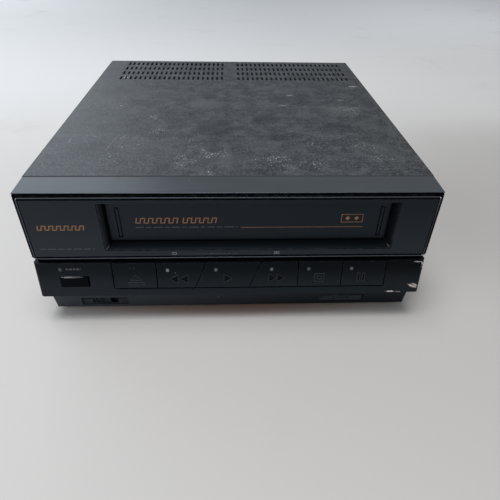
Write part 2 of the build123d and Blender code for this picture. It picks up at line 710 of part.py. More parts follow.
def base_tray():
    """Moulded tray: slanted chin in front, floor, side walls and the bosses that carry the inside."""
    outline = [
        (CHIN_TOP_SETBACK, PANEL_FOOT),
        (CHIN_FOOT_SETBACK, BASE_FOOT),
        (TRAY_REAR, BASE_FOOT),
        (TRAY_REAR, PANEL_FOOT),
    ]
    tray = side_prism(outline, TRAY_OUTSIDE)
    tray += wide_block(TRAY_OUTSIDE, COVER_FRONT, TRAY_REAR, PANEL_FOOT, TRAY_TOP)
    inside = [
        (CHIN_TOP_SETBACK + WALL, PANEL_FOOT),
        (CHIN_FOOT_SETBACK + WALL, FLOOR_TOP),
        (TRAY_REAR, FLOOR_TOP),
        (TRAY_REAR, TRAY_TOP),
        (CHIN_TOP_SETBACK + WALL, TRAY_TOP),
    ]
    tray -= side_prism(inside, TRAY_INSIDE)
    for x in (LEFT_RECESS_X, RIGHT_RECESS_X):
        tray += wide_block(RECESS_WIDTH / 2 + WALL, CHIN_FOOT_SETBACK, RECESS_BACK + WALL, FLOOR_TOP,
                           RECESS_TOP + WALL, x)
    for cut in recess_cuts():
        tray -= cut
    wheel_foot = WHEEL_Z - WHEEL_THICKNESS / 2 - SEAT_GAP
    tray += post(RIGHT_RECESS_X, WHEEL_Y, 2 * WHEEL_PIN_RADIUS, FLOOR_TOP, wheel_foot)
    tray += post(RIGHT_RECESS_X, WHEEL_Y, WHEEL_PIN_RADIUS, wheel_foot, WHEEL_Z + WHEEL_THICKNESS / 2)
    for x, y in boss_places():
        tray += post(x, y, BOSS_SHOULDER, FLOOR_TOP, BOARD_SEAT)
        tray += post(x, y, BOSS_RADIUS, BOARD_SEAT, DECK_FOOT)
    for side in (-1, 1):
        tray += post(side * (BOARD_HALF_WIDTH - BOSS_SHOULDER), BOARD_REAR - BOSS_SHOULDER,
                     BOSS_RADIUS, FLOOR_TOP, BOARD_SEAT)
        for y in COVER_SCREW_Y:
            tray += rod_x(side * TRAY_INSIDE, side * COVER_INSIDE, y, COVER_SCREW_Z, BOSS_RADIUS)
        inner = TRAY_INSIDE - REAR_POST
        tray += block(min(side * inner, side * TRAY_INSIDE), max(side * inner, side * TRAY_INSIDE),
                      TRAY_REAR - REAR_POST, TRAY_REAR, BOARD_TOP, TRAY_TOP)
    opening_half = PLATE_HALF_WIDTH - PLATE_LIP
    tray -= wide_block(opening_half, PLATE_FRONT + PLATE_LIP, PLATE_REAR - PLATE_LIP, BASE_FOOT,
                       FLOOR_TOP)
    tray -= wide_block(PLATE_HALF_WIDTH + SEAT_GAP, PLATE_FRONT - SEAT_GAP, PLATE_REAR + SEAT_GAP,
                       BASE_FOOT, BASE_FOOT + PLATE_SHEET)
    for x, y in foot_places():
        tray -= post(x, y, FOOT_STUB_RADIUS, BASE_FOOT, FLOOR_TOP)
    for place, direction in screw_seats():
        tray -= screw_hole(place, direction)
    return tray


def bottom_plate():
    """Steel service plate in the tray's floor, with two columns of vent slots."""
    plate = wide_block(PLATE_HALF_WIDTH, PLATE_FRONT, PLATE_REAR, BASE_FOOT, BASE_FOOT + PLATE_SHEET)
    middle = (PLATE_FRONT + PLATE_REAR) / 2
    first = middle - (PLATE_SLOTS - 1) * PLATE_SLOT_PITCH / 2
    length, width = PLATE_SLOT
    for row in range(PLATE_SLOTS):
        y = first + row * PLATE_SLOT_PITCH
        for side in (-1, 1):
            plate -= wide_block(length / 2, y - width / 2, y + width / 2, BASE_FOOT,
                                BASE_FOOT + PLATE_SHEET, side * PLATE_SLOT_X)
    for x, y in plate_screw_places():
        plate -= screw_hole((x, y, BASE_FOOT), (0, 0, 1))
    return plate


def rear_panel():
    """Steel rear plate, wide above and narrower beside the base, cut for its sockets and the gland."""
    plate = wide_block(TRAY_OUTSIDE, TRAY_REAR, REAR_FACE, BASE_FOOT, COVER_TOP - SHEET)
    plate += wide_block(COVER_INSIDE, TRAY_REAR, REAR_FACE, PANEL_FOOT + SHEET, COVER_TOP - SHEET)
    for side in (-1, 1):
        x = MODULATOR_X + side * SOCKET_SPREAD / 2
        plate -= rod_y(x, TRAY_REAR, REAR_FACE, SOCKET_Z, SOCKET_RADIUS + CONNECTOR_COLLAR + SEAT_GAP)
        x = JACK_X + side * JACK_SPREAD / 2
        plate -= rod_y(x, TRAY_REAR, REAR_FACE, SOCKET_Z, JACK_RADIUS + CONNECTOR_COLLAR + SEAT_GAP)
    plate -= rod_y(GLAND_X, TRAY_REAR, REAR_FACE, GLAND_Z, GLAND_RADIUS)
    for place, direction in screw_seats():
        if direction[1]:
            plate -= screw_hole(place, direction)
    return plate


def rubber_feet():
    """Four feet, each with a stub pushed into the tray's floor."""
    feet = []
    for x, y in foot_places():
        foot = post(x, y, FOOT_RADIUS, GROUND, BASE_FOOT)
        feet.append(foot + post(x, y, FOOT_STUB_RADIUS, BASE_FOOT, FLOOR_TOP))
    return feet


def case_screws():
    """All the screws of the case."""
    return [screw(place, direction) for place, direction in screw_seats()]


# ---- cassette door -----------------------------------------------------------------------------

def door_groove(side):
    """The upright groove near one end of the door, with the bar that stands in it."""
    x = SLOT_X + side * GROOVE_OFFSET
    middle = (DOOR_FOOT + DOOR_TOP) / 2
    foot = middle - GROOVE_HEIGHT / 2
    top = middle + GROOVE_HEIGHT / 2
    groove = wide_block(GROOVE_WIDTH / 2, DOOR_SETBACK, DOOR_SETBACK + GROOVE_DEPTH, foot, top, x)
    ridge = wide_block(GROOVE_BAR / 2, DOOR_SETBACK, DOOR_SETBACK + GROOVE_DEPTH, foot, top, x)
    return groove - ridge


def door_plate_block():
    """The plate that lies in the front of the door."""
    return wide_block(DOOR_PLATE_HALF_WIDTH, DOOR_SETBACK, DOOR_SETBACK + DOOR_PLATE_SHEET,
                      DOOR_FOOT + DOOR_PLATE_MARGIN, DOOR_TOP - DOOR_PLATE_MARGIN, SLOT_X)


def cassette_door():
    """Door moulding with a shallow bed for its plate, two grooves and a hole for each hinge pin."""
    door = wide_block(DOOR_WIDTH / 2, DOOR_SETBACK, DOOR_BACK, DOOR_FOOT, DOOR_TOP, SLOT_X)
    door -= door_plate_block()
    for side in (-1, 1):
        door -= door_groove(side)
        end = side * DOOR_WIDTH / 2
        door -= door_axis_rod(end - side * HINGE_GRIP, end, HINGE_RADIUS)
    return door


def door_pins():
    """A steel pin in each end of the door, turning in the ears of the tunnel."""
    reach = SLOT_WIDTH / 2 + TUNNEL_WALL + EAR_THICKNESS
    return [door_axis_rod(side * (DOOR_WIDTH / 2 - HINGE_GRIP), side * reach, HINGE_RADIUS)
            for side in (-1, 1)]


def door_spring():
    """Torsion spring round the right hinge pin, between the door and the tunnel's wall."""
    height = SPRING_PITCH * SPRING_TURNS
    radius = HINGE_RADIUS + SPRING_CLEARANCE + SPRING_WIRE / 2
    path = Helix(SPRING_PITCH, height, radius)
    start = Plane(origin=path @ 0, z_dir=path % 0)
    coil = sweep(start * Circle(SPRING_WIRE / 2), path=path, is_frenet=True)
    gap_middle = DOOR_WIDTH / 2 + DOOR_SIDE_GAP / 2
    return Pos(SLOT_X + gap_middle - height / 2, DOOR_PIVOT_Y, DOOR_PIVOT_Z) * Rot(0, 90, 0) * coil


# ---- controls ----------------------------------------------------------------------------------

def button_outline(name, inset):
    """The (x, z) outline of one button, drawn in by inset."""
    names = list(BUTTON_CUTS) + ["pause"]
    place = names.index(name)
    left, left_slant = BUTTON_ROW_LEFT - BUTTON_GAP / 2, 0.0
    if place > 0:
        left, left_slant = BUTTON_CUTS[names[place - 1]]
    right, right_slant = BUTTON_ROW_RIGHT + BUTTON_GAP / 2, 0.0
    if name in BUTTON_CUTS:
        right, right_slant = BUTTON_CUTS[name]
    margin = BUTTON_GAP / 2 + inset
    foot = BUTTON_ROW_FOOT + inset
    top = BUTTON_TOP - inset
    return [
        (left - left_slant + margin, foot),
        (right - right_slant - margin, foot),
        (right + right_slant - margin, top),
        (left + left_slant + margin, top),
    ]


def lens_block(x, z, gap):
    """The hole or the body of one indicator, from well in front of the panel to its board."""
    return block(x - LENS_WIDTH / 2 - gap, x + LENS_WIDTH / 2 + gap, -2 * PANEL_FOOT_PROUD, KEY_BOARD_Y,
                 z - LENS_HEIGHT / 2 - gap, z + LENS_HEIGHT / 2 + gap)


def transport_button(name):
    """One button of the row: a hollow cap with a leaning face and a stem behind it."""
    reach = 2 * PANEL_FOOT_PROUD
    cap = front_prism(button_outline(name, 0), -reach, BUTTON_BACK)
    cap &= leaning_slab(BUTTON_PROUD, BUTTON_BACK, PANEL_TOP, PANEL_FOOT)
    hollow = front_prism(button_outline(name, BUTTON_WALL), -reach, BUTTON_BACK)
    cap -= hollow & leaning_slab(BUTTON_PROUD - BUTTON_WALL, BUTTON_BACK, PANEL_TOP, PANEL_FOOT)
    x = switch_x(name)
    z = (BUTTON_TOP + BUTTON_ROW_FOOT) / 2
    stem_back = SWITCH_FACE - BUTTON_TRAVEL - STEM_GAP
    cap += rod_y(x, panel_face(z) + BUTTON_WALL / 2, stem_back, z, STEM_RADIUS)
    for lens_x in LENS_X:
        cap -= lens_block(lens_x, LENS_Z, LENS_GAP)
    return cap


def power_button():
    """The power button in its own hole, its back just clear of its switch when pressed."""
    back = SWITCH_FACE - POWER_TRAVEL - STEM_GAP
    cap = block(POWER_X - POWER_WIDTH / 2, POWER_X + POWER_WIDTH / 2, -2 * PANEL_FOOT_PROUD, back,
                POWER_Z - POWER_HEIGHT / 2, POWER_Z + POWER_HEIGHT / 2)
    return cap & leaning_slab(BUTTON_PROUD, back, PANEL_TOP, PANEL_FOOT)


def switch_x(name):
    """X of the switch behind a button."""
    outline = button_outline(name, 0)
    return sum(x for x, z in outline) / len(outline)


def indicator_lenses():
    """Small clear blocks that carry light from the key board to the front."""
    button_slab = leaning_slab(BUTTON_PROUD, KEY_BOARD_Y, PANEL_TOP, PANEL_FOOT)
    lenses = [lens_block(x, LENS_Z, 0) & button_slab for x in LENS_X]
    panel_slab = leaning_slab(0, KEY_BOARD_Y, PANEL_TOP, PANEL_FOOT)
    lenses.append(lens_block(POWER_LENS_X, POWER_LENS_Z, 0) & panel_slab)
    return lenses


def key_board():
    """Upright circuit board behind the control panel."""
    return wide_block(KEY_BOARD_HALF_LENGTH, KEY_BOARD_Y, KEY_BOARD_Y + KEY_BOARD_SHEET,
                      PANEL_FOOT + KEY_BOARD_MARGIN, PANEL_TOP - KEY_BOARD_MARGIN)


def key_switches():
    """One push switch behind each button."""
    places = [(switch_x(name), (BUTTON_TOP + BUTTON_ROW_FOOT) / 2) for name in BUTTON_NAMES]
    places.append((POWER_X, POWER_Z))
    switches = []
    half = SWITCH_SIZE / 2
    for x, z in places:
        body = wide_block(half, KEY_BOARD_Y - SWITCH_DEPTH, KEY_BOARD_Y, z - half, z + half, x)
        plunger = rod_y(x, SWITCH_FACE, KEY_BOARD_Y - SWITCH_DEPTH, z, PLUNGER_RADIUS)
        switches.append(body + plunger)
    return switches


def tracking_wheel():
    """Ribbed thumb wheel that stands out of the right recess."""
    wheel = post(RIGHT_RECESS_X, WHEEL_Y, WHEEL_RADIUS, WHEEL_Z - WHEEL_THICKNESS / 2,
                 WHEEL_Z + WHEEL_THICKNESS / 2)
    for rib in range(WHEEL_RIBS):
        angle = 2 * math.pi * rib / WHEEL_RIBS
        wheel -= post(RIGHT_RECESS_X + WHEEL_RADIUS * math.cos(angle),
                      WHEEL_Y + WHEEL_RADIUS * math.sin(angle), WHEEL_RIB_DEPTH,
                      WHEEL_Z - WHEEL_THICKNESS, WHEEL_Z + WHEEL_THICKNESS)
    return wheel - post(RIGHT_RECESS_X, WHEEL_Y, WHEEL_PIN_RADIUS + RUNNING, BASE_FOOT, PANEL_FOOT)


def slide_switch():
    """Slide knob in the left recess, held by a tab behind the recess wall."""
    x = KNOB_REST_X
    z = (RECESS_TOP + RECESS_FOOT) / 2
    front = RECESS_BACK - KNOB_GAP
    back = RECESS_BACK + WALL + KNOB_GAP
    knob = wide_block(KNOB_WIDTH / 2, front - KNOB_DEPTH, front, z - KNOB_HEIGHT / 2,
                      z + KNOB_HEIGHT / 2, x)
    knob += wide_block(KNOB_WIDTH / 4, front, back, z - KNOB_STEM / 2, z + KNOB_STEM / 2, x)
    knob += wide_block(KNOB_TAB / 2, back, back + KNOB_TAB_SHEET, z - KNOB_HEIGHT / 2,
                       z + KNOB_HEIGHT / 2, x)
    return knob


# ---- tape deck ---------------------------------------------------------------------------------

def deck_place(side, point):
    """A point given from the middle of the deck, mirrored for the left side."""
    return DECK_X + side * point[0], point[1]


def pinch_end():
    """Where the pinch roller stands at rest."""
    angle = math.radians(PINCH_ARM_ANGLE)
    return (DECK_X + PINCH_X + PINCH_ARM * math.cos(angle), PINCH_Y + PINCH_ARM * math.sin(angle))


def tension_end():
    """Where the tension arm's post stands at rest."""
    angle = math.radians(TENSION_ANGLE)
    return (DECK_X + TENSION_X + TENSION_ARM * math.cos(angle),
            TENSION_Y + TENSION_ARM * math.sin(angle))


def deck_plate():
    """Steel deck with guide slots, holes and the pins that its pieces turn on."""
    deck = wide_block(DECK_HALF_WIDTH, DECK_FRONT, DECK_REAR, DECK_FOOT, DECK_TOP, DECK_X)
    for side in (-1, 1):
        x0, y0 = deck_place(side, GUIDE_START)
        x1, y1 = deck_place(side, GUIDE_END)
        deck -= bar(x0, y0, x1, y1, GUIDE_SLOT_WIDTH, DECK_FOOT, DECK_TOP)
        reel_x = DECK_X + side * REEL_SPREAD
        deck += post(reel_x, REEL_Y, PIVOT_RADIUS, DECK_TOP, REEL_DISC_HEAD)
    deck -= post(DECK_X + CAPSTAN_X, CAPSTAN_Y, CAPSTAN_RADIUS + RUNNING, DECK_FOOT, DECK_TOP)
    deck += post(DECK_X + CAPSTAN_X, CAPSTAN_Y, BEARING_RADIUS, BEARING_FOOT, BEARING_HEAD)
    deck -= post(DECK_X + CAPSTAN_X, CAPSTAN_Y, CAPSTAN_RADIUS + RUNNING, BEARING_FOOT, BEARING_HEAD)
    arm_top = DECK_TOP + SEAT_GAP + ARM_SHEET
    for x, y in ((PINCH_X, PINCH_Y), (TENSION_X, TENSION_Y), (0, IDLER_Y)):
        deck += post(DECK_X + x, y, PIVOT_RADIUS, DECK_TOP, arm_top)
    deck += post(DECK_X + CAM_X, CAM_Y, PIVOT_RADIUS, DECK_TOP, DECK_TOP + SEAT_GAP + GEAR_THICKNESS)
    pulley_foot = PULLEY_TOP - 2 * BELT_WIDTH
    deck += post(DECK_X, IDLER_Y, PIVOT_RADIUS, pulley_foot, DECK_FOOT)
    deck -= post(DECK_X + CAM_X, PINION_Y, MOTOR_SHAFT_RADIUS + SEAT_GAP, DECK_FOOT, DECK_TOP)
    return deck


def tilted(shape):
    """Sets a drum piece on the deck, leaning by the drum's tilt."""
    return Pos(DECK_X, DRUM_Y, DECK_TOP) * Rot(DRUM_TILT, 0, 0) * shape


def drum_slice(radius, foot, head):
    """A cylinder on the drum's own leaning axis, between two heights along it."""
    return tilted(Pos(0, 0, (foot + head) / 2) * Cylinder(radius, head - foot))


def lower_drum():
    """Fixed lower drum, its foot cut level with the deck."""
    drum = drum_slice(DRUM_RADIUS, -2 * DRUM_RIM, DRUM_LOWER)
    room = 2 * DRUM_RADIUS
    drum &= wide_block(room, DRUM_Y - room, DRUM_Y + room, DECK_TOP, COVER_TOP, DECK_X)
    return drum - drum_slice(DRUM_SHAFT_RADIUS + RUNNING, DRUM_SHAFT_FOOT - SEAT_GAP, DRUM_LOWER)


def upper_drum():
    """Spinning upper drum with a cup-shaped top."""
    foot = DRUM_LOWER + DRUM_GAP
    head = foot + DRUM_UPPER
    drum = drum_slice(DRUM_RADIUS, foot, head)
    cup = drum_slice(DRUM_RADIUS - DRUM_RIM, head - DRUM_CUP, head)
    cup -= drum_slice(3 * DRUM_SHAFT_RADIUS, head - DRUM_CUP, head)
    return drum - cup - drum_slice(DRUM_SHAFT_RADIUS, foot, head)


def drum_shaft():
    """Shaft pressed into the upper drum, running in the lower one."""
    head = DRUM_LOWER + DRUM_GAP + DRUM_UPPER + DRUM_SHAFT_HEAD
    return drum_slice(DRUM_SHAFT_RADIUS, DRUM_SHAFT_FOOT, head)


def capstan_shaft():
    """Thin steel shaft that draws the tape."""
    return post(DECK_X + CAPSTAN_X, CAPSTAN_Y, CAPSTAN_RADIUS, FLYWHEEL_FOOT, CAPSTAN_HEAD)


def capstan_flywheel():
    """Flywheel under the deck with the belt pulley on top."""
    x = DECK_X + CAPSTAN_X
    wheel = post(x, CAPSTAN_Y, FLYWHEEL_RADIUS, FLYWHEEL_FOOT, FLYWHEEL_TOP)
    wheel += post(x, CAPSTAN_Y, CAPSTAN_PULLEY_RADIUS, FLYWHEEL_TOP, PULLEY_TOP)
    return wheel - post(x, CAPSTAN_Y, CAPSTAN_RADIUS, FLYWHEEL_FOOT, PULLEY_TOP)


def capstan_stator():
    """Motor stator on the main board, under the flywheel."""
    x = DECK_X + CAPSTAN_X
    top = FLYWHEEL_FOOT - STATOR_GAP
    return post(x, CAPSTAN_Y, STATOR_RADIUS, BOARD_TOP, top)


def drive_pulley():
    """Pulley on the pin below the deck."""
    foot = PULLEY_TOP - 2 * BELT_WIDTH
    pulley = post(DECK_X, IDLER_Y, DRIVE_PULLEY_RADIUS, foot, PULLEY_TOP)
    return pulley - post(DECK_X, IDLER_Y, PIVOT_RADIUS + RUNNING, foot, PULLEY_TOP)


def belt_loop(extra, z0, z1):
    """The filled outline of the belt's path, grown by extra."""
    drive = Pos(DECK_X, IDLER_Y) * Circle(DRIVE_PULLEY_RADIUS + SEAT_GAP + extra)
    capstan = Pos(DECK_X + CAPSTAN_X, CAPSTAN_Y) * Circle(CAPSTAN_PULLEY_RADIUS + SEAT_GAP + extra)
    hull = make_hull(drive.edges() + capstan.edges())
    return Pos(0, 0, z0) * extrude(hull, amount=z1 - z0)


def drive_belt():
    """Rubber belt round the two pulleys."""
    middle = PULLEY_TOP - BELT_WIDTH
    low, high = middle - BELT_WIDTH / 2, middle + BELT_WIDTH / 2
    return belt_loop(BELT_THICKNESS, low, high) - belt_loop(0, low, high)


def pinch_arm():
    """Arm that carries the pinch roller on a pin."""
    x0, y0 = DECK_X + PINCH_X, PINCH_Y
    x1, y1 = pinch_end()
    foot = DECK_TOP + SEAT_GAP
    arm = bar(x0, y0, x1, y1, ARM_WIDTH, foot, foot + ARM_SHEET)
    arm += post(x1, y1, PIVOT_RADIUS, foot, PINCH_ROLLER_HEAD)
    arm += post(x1, y1, 2 * PIVOT_RADIUS, foot, PINCH_ROLLER_FOOT - SEAT_GAP)
    return arm - post(x0, y0, PIVOT_RADIUS + RUNNING, foot, foot + ARM_SHEET)


def pinch_roller():
    """Rubber roller on the pinch arm."""
    x, y = pinch_end()
    roller = post(x, y, PINCH_ROLLER_RADIUS, PINCH_ROLLER_FOOT, PINCH_ROLLER_HEAD)
    return roller - post(x, y, PIVOT_RADIUS + RUNNING, PINCH_ROLLER_FOOT, PINCH_ROLLER_HEAD)


def reel_table(side):
    """Reel table with a hub and a finned spindle that enters the cassette."""
    x = DECK_X + side * REEL_SPREAD
    foot = DECK_TOP + SEAT_GAP
    table = post(x, REEL_Y, REEL_RADIUS, REEL_DISC_FOOT, REEL_DISC_HEAD)
    table += post(x, REEL_Y, REEL_HUB_RADIUS, foot, REEL_DISC_HEAD)
    table += post(x, REEL_Y, REEL_SPINDLE_RADIUS, REEL_DISC_HEAD, REEL_SPINDLE_HEAD)
    reach = REEL_SPINDLE_RADIUS + REEL_FIN_REACH
    for fin in range(REEL_FINS):
        vane = block(0, reach, -REEL_FIN_WIDTH / 2, REEL_FIN_WIDTH / 2, REEL_DISC_HEAD,
                     REEL_SPINDLE_HEAD - REEL_FIN_WIDTH)
        table += Pos(x, REEL_Y, 0) * Rot(0, 0, fin * 360 / REEL_FINS) * vane
    bore_head = REEL_DISC_HEAD + SEAT_GAP
    return table - post(x, REEL_Y, PIVOT_RADIUS + RUNNING, foot, bore_head)


def idler_arm():
    """Swinging arm between the reels."""
    foot = DECK_TOP + SEAT_GAP
    top = foot + ARM_SHEET
    y = IDLER_Y - IDLER_ARM
    arm = bar(DECK_X, IDLER_Y, DECK_X, y, ARM_WIDTH, foot, top)
    arm += post(DECK_X, y, PIVOT_RADIUS, top, REEL_DISC_HEAD)
    return arm - post(DECK_X, IDLER_Y, PIVOT_RADIUS + RUNNING, foot, top)


def idler_wheel():
    """Rubber-rimmed wheel on the idler arm."""
    y = IDLER_Y - IDLER_ARM
    foot = DECK_TOP + 2 * SEAT_GAP + ARM_SHEET
    wheel = post(DECK_X, y, IDLER_RADIUS, foot, REEL_DISC_HEAD)
    return wheel - post(DECK_X, y, PIVOT_RADIUS + RUNNING, foot, REEL_DISC_HEAD)


def loading_motor():
    """Motor hung under the deck."""
    return post(DECK_X + CAM_X, PINION_Y, LOADING_MOTOR_RADIUS, DECK_FOOT - LOADING_MOTOR_LENGTH,
                DECK_FOOT) - post(DECK_X + CAM_X, PINION_Y, MOTOR_SHAFT_RADIUS + RUNNING,
                                  DECK_FOOT - LOADING_MOTOR_LENGTH / 2, DECK_FOOT)


def motor_pinion():
    """Pinion with the motor's shaft."""
    half_step = 180 / PINION_TEETH
    foot = DECK_TOP + SEAT_GAP
    pinion = Pos(DECK_X + CAM_X, PINION_Y, foot) * Rot(0, 0, half_step) * gear(PINION_TEETH, GEAR_THICKNESS)
    return pinion + post(DECK_X + CAM_X, PINION_Y, MOTOR_SHAFT_RADIUS,
                         DECK_FOOT - LOADING_MOTOR_LENGTH / 2 + SEAT_GAP, foot)


def cam_gear():
    """Large gear that draws both guides along their slots."""
    foot = DECK_TOP + SEAT_GAP
    wheel = Pos(DECK_X + CAM_X, CAM_Y, foot) * gear(CAM_TEETH, GEAR_THICKNESS)
    return wheel - post(DECK_X + CAM_X, CAM_Y, PIVOT_RADIUS + RUNNING, foot, foot + GEAR_THICKNESS)


def tape_guide(side):
    """Sliding base with a tongue through the deck's slot and a flanged roller on top."""
    x, y = deck_place(side, GUIDE_START)
    end_x, end_y = deck_place(side, GUIDE_END)
    angle = math.degrees(math.atan2(end_y - y, end_x - x)) - 90
    foot = DECK_TOP + SEAT_GAP
    guide = Pos(x, y, 0) * Rot(0, 0, angle) * sized_block(0, 0, foot, GUIDE_BASE)
    base_top = foot + GUIDE_BASE[2]
    tongue_foot = DECK_FOOT - SEAT_GAP
    guide += post(x, y, GUIDE_TONGUE_RADIUS, tongue_foot, foot)
    guide += post(x, y, GUIDE_FLANGE_RADIUS, tongue_foot - GUIDE_DISC, tongue_foot)
    guide += post(x, y, GUIDE_ROLLER_RADIUS, base_top, GUIDE_HEAD)
    return guide + post(x, y, GUIDE_FLANGE_RADIUS, GUIDE_HEAD - GUIDE_DISC, GUIDE_HEAD)


def tension_arm():
    """Arm whose post feels the tension of the tape."""
    x0, y0 = DECK_X + TENSION_X, TENSION_Y
    x1, y1 = tension_end()
    foot = DECK_TOP + SEAT_GAP
    arm = bar(x0, y0, x1, y1, ARM_WIDTH, foot, foot + ARM_SHEET)
    arm += post(x1, y1, TENSION_POST_RADIUS, foot, GUIDE_HEAD)
    return arm - post(x0, y0, PIVOT_RADIUS + RUNNING, foot, foot + ARM_SHEET)


def fixed_head(place):
    """A head on a small foot, standing on the deck."""
    x, y = DECK_X + place[0], place[1]
    stalk = sized_block(x, y, DECK_TOP, (HEAD_SIZE, HEAD_SIZE, GUIDE_BASE[2]))
    body = post(x, y, HEAD_SIZE / 3, DECK_TOP, HEAD_TOP)
    return stalk + body + sized_block(x, y, 0, (HEAD_SIZE, HEAD_SIZE * 2 / 3, HEAD_TOP))


# ---- cassette carriage -------------------------------------------------------------------------

def deck_sided(side, near, far, y0, y1, z0, z1):
    """A box between two distances from the middle of the deck, on one side of it."""
    xs = (DECK_X + side * near, DECK_X + side * far)
    return block(min(xs), max(xs), y0, y1, z0, z1)


def deck_pin(side, near, far, y, z):
    """A guide pin along X on one side of the deck."""
    return rod_x(DECK_X + side * near, DECK_X + side * far, y, z, GUIDE_PIN_RADIUS)


def carriage_frame():
    """Two side frames standing on the deck, joined by a bridge, with a level slot in each."""
    outer = FRAME_INNER + FRAME_SHEET
    frame = wide_block(outer, BRIDGE_FRONT, FRAME_REAR, FRAME_TOP - FRAME_SHEET, FRAME_TOP, DECK_X)
    half_slot = GUIDE_PIN_RADIUS + SLIDE_CLEARANCE
    for side in (-1, 1):
        frame += deck_sided(side, FRAME_INNER, outer, FRAME_FRONT, FRAME_REAR, DECK_TOP, FRAME_TOP)
        frame -= deck_sided(side, FRAME_INNER, outer, SLIDER_PINS[0] - half_slot,
                            SLIDER_PINS[-1] + CARRIAGE_TRAVEL + half_slot,
                            SLIDER_PIN_Z - half_slot, SLIDER_PIN_Z + half_slot)
    frame += rod_x(DECK_X + FRAME_INNER, DECK_X + SLIDER_OUTER - SLIDER_SHEET, DRIVE_GEAR_Y,
                   DRIVE_GEAR_Z, PIVOT_RADIUS)
    return frame


def slider_rack():
    """Rack under the right slider, with a gap over the drive gear's top tooth."""
    pitch = math.pi * GEAR_MODULE
    depth = (TOOTH_TIP + TOOTH_ROOT) * GEAR_MODULE
    last = int((SLIDER_REAR - DRIVE_GEAR_Y) / pitch)
    first = -int((CARRIAGE_TRAVEL + 2 * pitch) / pitch)
    teeth = []
    for tooth in range(first, last):
        y = DRIVE_GEAR_Y + (tooth + 0.5) * pitch
        root, tip = TOOTH_ROOT_SHARE * pitch, TOOTH_TIP_SHARE * pitch
        outline = [(y - root, SLIDER_FOOT), (y - tip, SLIDER_FOOT - depth), (y + tip, SLIDER_FOOT - depth),
                   (y + root, SLIDER_FOOT)]
        teeth.append(side_prism(outline, SLIDER_SHEET / 2, DECK_X + SLIDER_OUTER - SLIDER_SHEET / 2))
    return teeth


def carriage_slider():
    """Left and right sliders: pins in the frames' slots, upright slots for the holder's pins."""
    half_slot = GUIDE_PIN_RADIUS + SLIDE_CLEARANCE
    inner = SLIDER_OUTER - SLIDER_SHEET
    sliders = []
    for side in (-1, 1):
        slider = deck_sided(side, inner, SLIDER_OUTER, SLIDER_FRONT, SLIDER_REAR, SLIDER_FOOT, SLIDER_TOP)
        for y in SLIDER_PINS:
            slider += deck_pin(side, inner, FRAME_INNER + FRAME_SHEET, y, SLIDER_PIN_Z)
        for y in HOLDER_PINS:
            slider -= deck_sided(side, inner, SLIDER_OUTER, y - half_slot, y + half_slot,
                                 HOLDER_PIN_Z - HOLDER_DROP - half_slot, HOLDER_PIN_Z + half_slot)
        if side > 0:
            for tooth in slider_rack():
                slider += tooth
        sliders.append(slider)
    return sliders


def cassette_holder():
    """Folded holder that the cassette slides into: top, sides, two floor lips and two stops."""
    inner = HOLDER_OUTER - HOLDER_SHEET
    holder = wide_block(HOLDER_OUTER, HOLDER_FRONT, HOLDER_REAR, HOLDER_FOOT, HOLDER_TOP, DECK_X)
    holder -= wide_block(inner, HOLDER_FRONT, HOLDER_REAR, HOLDER_FOOT + HOLDER_SHEET,
                         HOLDER_TOP - HOLDER_SHEET, DECK_X)
    holder -= wide_block(inner - HOLDER_LIP, HOLDER_FRONT, HOLDER_REAR, HOLDER_FOOT,
                         HOLDER_FOOT + HOLDER_SHEET, DECK_X)
    for side in (-1, 1):
        holder += deck_sided(side, inner - HOLDER_LIP, inner, HOLDER_REAR - HOLDER_SHEET, HOLDER_REAR,
                             HOLDER_FOOT, HOLDER_TOP)
        for y in HOLDER_PINS:
            holder += deck_pin(side, HOLDER_OUTER - HOLDER_SHEET / 2, SLIDER_OUTER, y, HOLDER_PIN_Z)
    return holder


def carriage_gear():
    """Drive gear on the right frame, in mesh with the slider's rack."""
    wheel = gear(DRIVE_TEETH, DRIVE_GEAR_THICKNESS)
    wheel -= Cylinder(PIVOT_RADIUS + RUNNING, 4 * DRIVE_GEAR_THICKNESS)
    upright = Plane(origin=(DECK_X + SLIDER_OUTER - SLIDER_SHEET, DRIVE_GEAR_Y, DRIVE_GEAR_Z),
                    x_dir=(0, 1, 0), z_dir=(1, 0, 0))
    return upright * wheel


# ---- electrics ---------------------------------------------------------------------------------

def main_board():
    """Main circuit board, resting on the shoulders of the tray's bosses."""
    board = wide_block(BOARD_HALF_WIDTH, BOARD_FRONT, BOARD_REAR, BOARD_SEAT, BOARD_TOP)
    for x, y in boss_places():
        board -= post(x, y, BOSS_RADIUS + SEAT_GAP, BOARD_SEAT, BOARD_TOP)
    return board


def power_transformer():
    """Mains transformer: laminated core round a wound bobbin."""
    core = sized_block(TRANSFORMER_X, TRANSFORMER_Y, BOARD_TOP, TRANSFORMER_CORE)
    coil_lift = (TRANSFORMER_CORE[2] - TRANSFORMER_COIL[2]) / 2
    return core + sized_block(TRANSFORMER_X, TRANSFORMER_Y, BOARD_TOP + coil_lift, TRANSFORMER_COIL)


def heatsink():
    """Finned aluminium heatsink standing on the board."""
    x, y = HEATSINK_X, HEATSINK_Y
    width, depth, height = HEATSINK_SIZE
    sink = sized_block(x, y - depth / 2 + HEATSINK_WEB / 2, BOARD_TOP, (width, HEATSINK_WEB, height))
    pitch = (width - HEATSINK_FIN_WIDTH) / (HEATSINK_FINS - 1)
    for fin in range(HEATSINK_FINS):
        fin_x = x - width / 2 + HEATSINK_FIN_WIDTH / 2 + fin * pitch
        sink += sized_block(fin_x, y, BOARD_TOP, (HEATSINK_FIN_WIDTH, depth, height))
    return sink


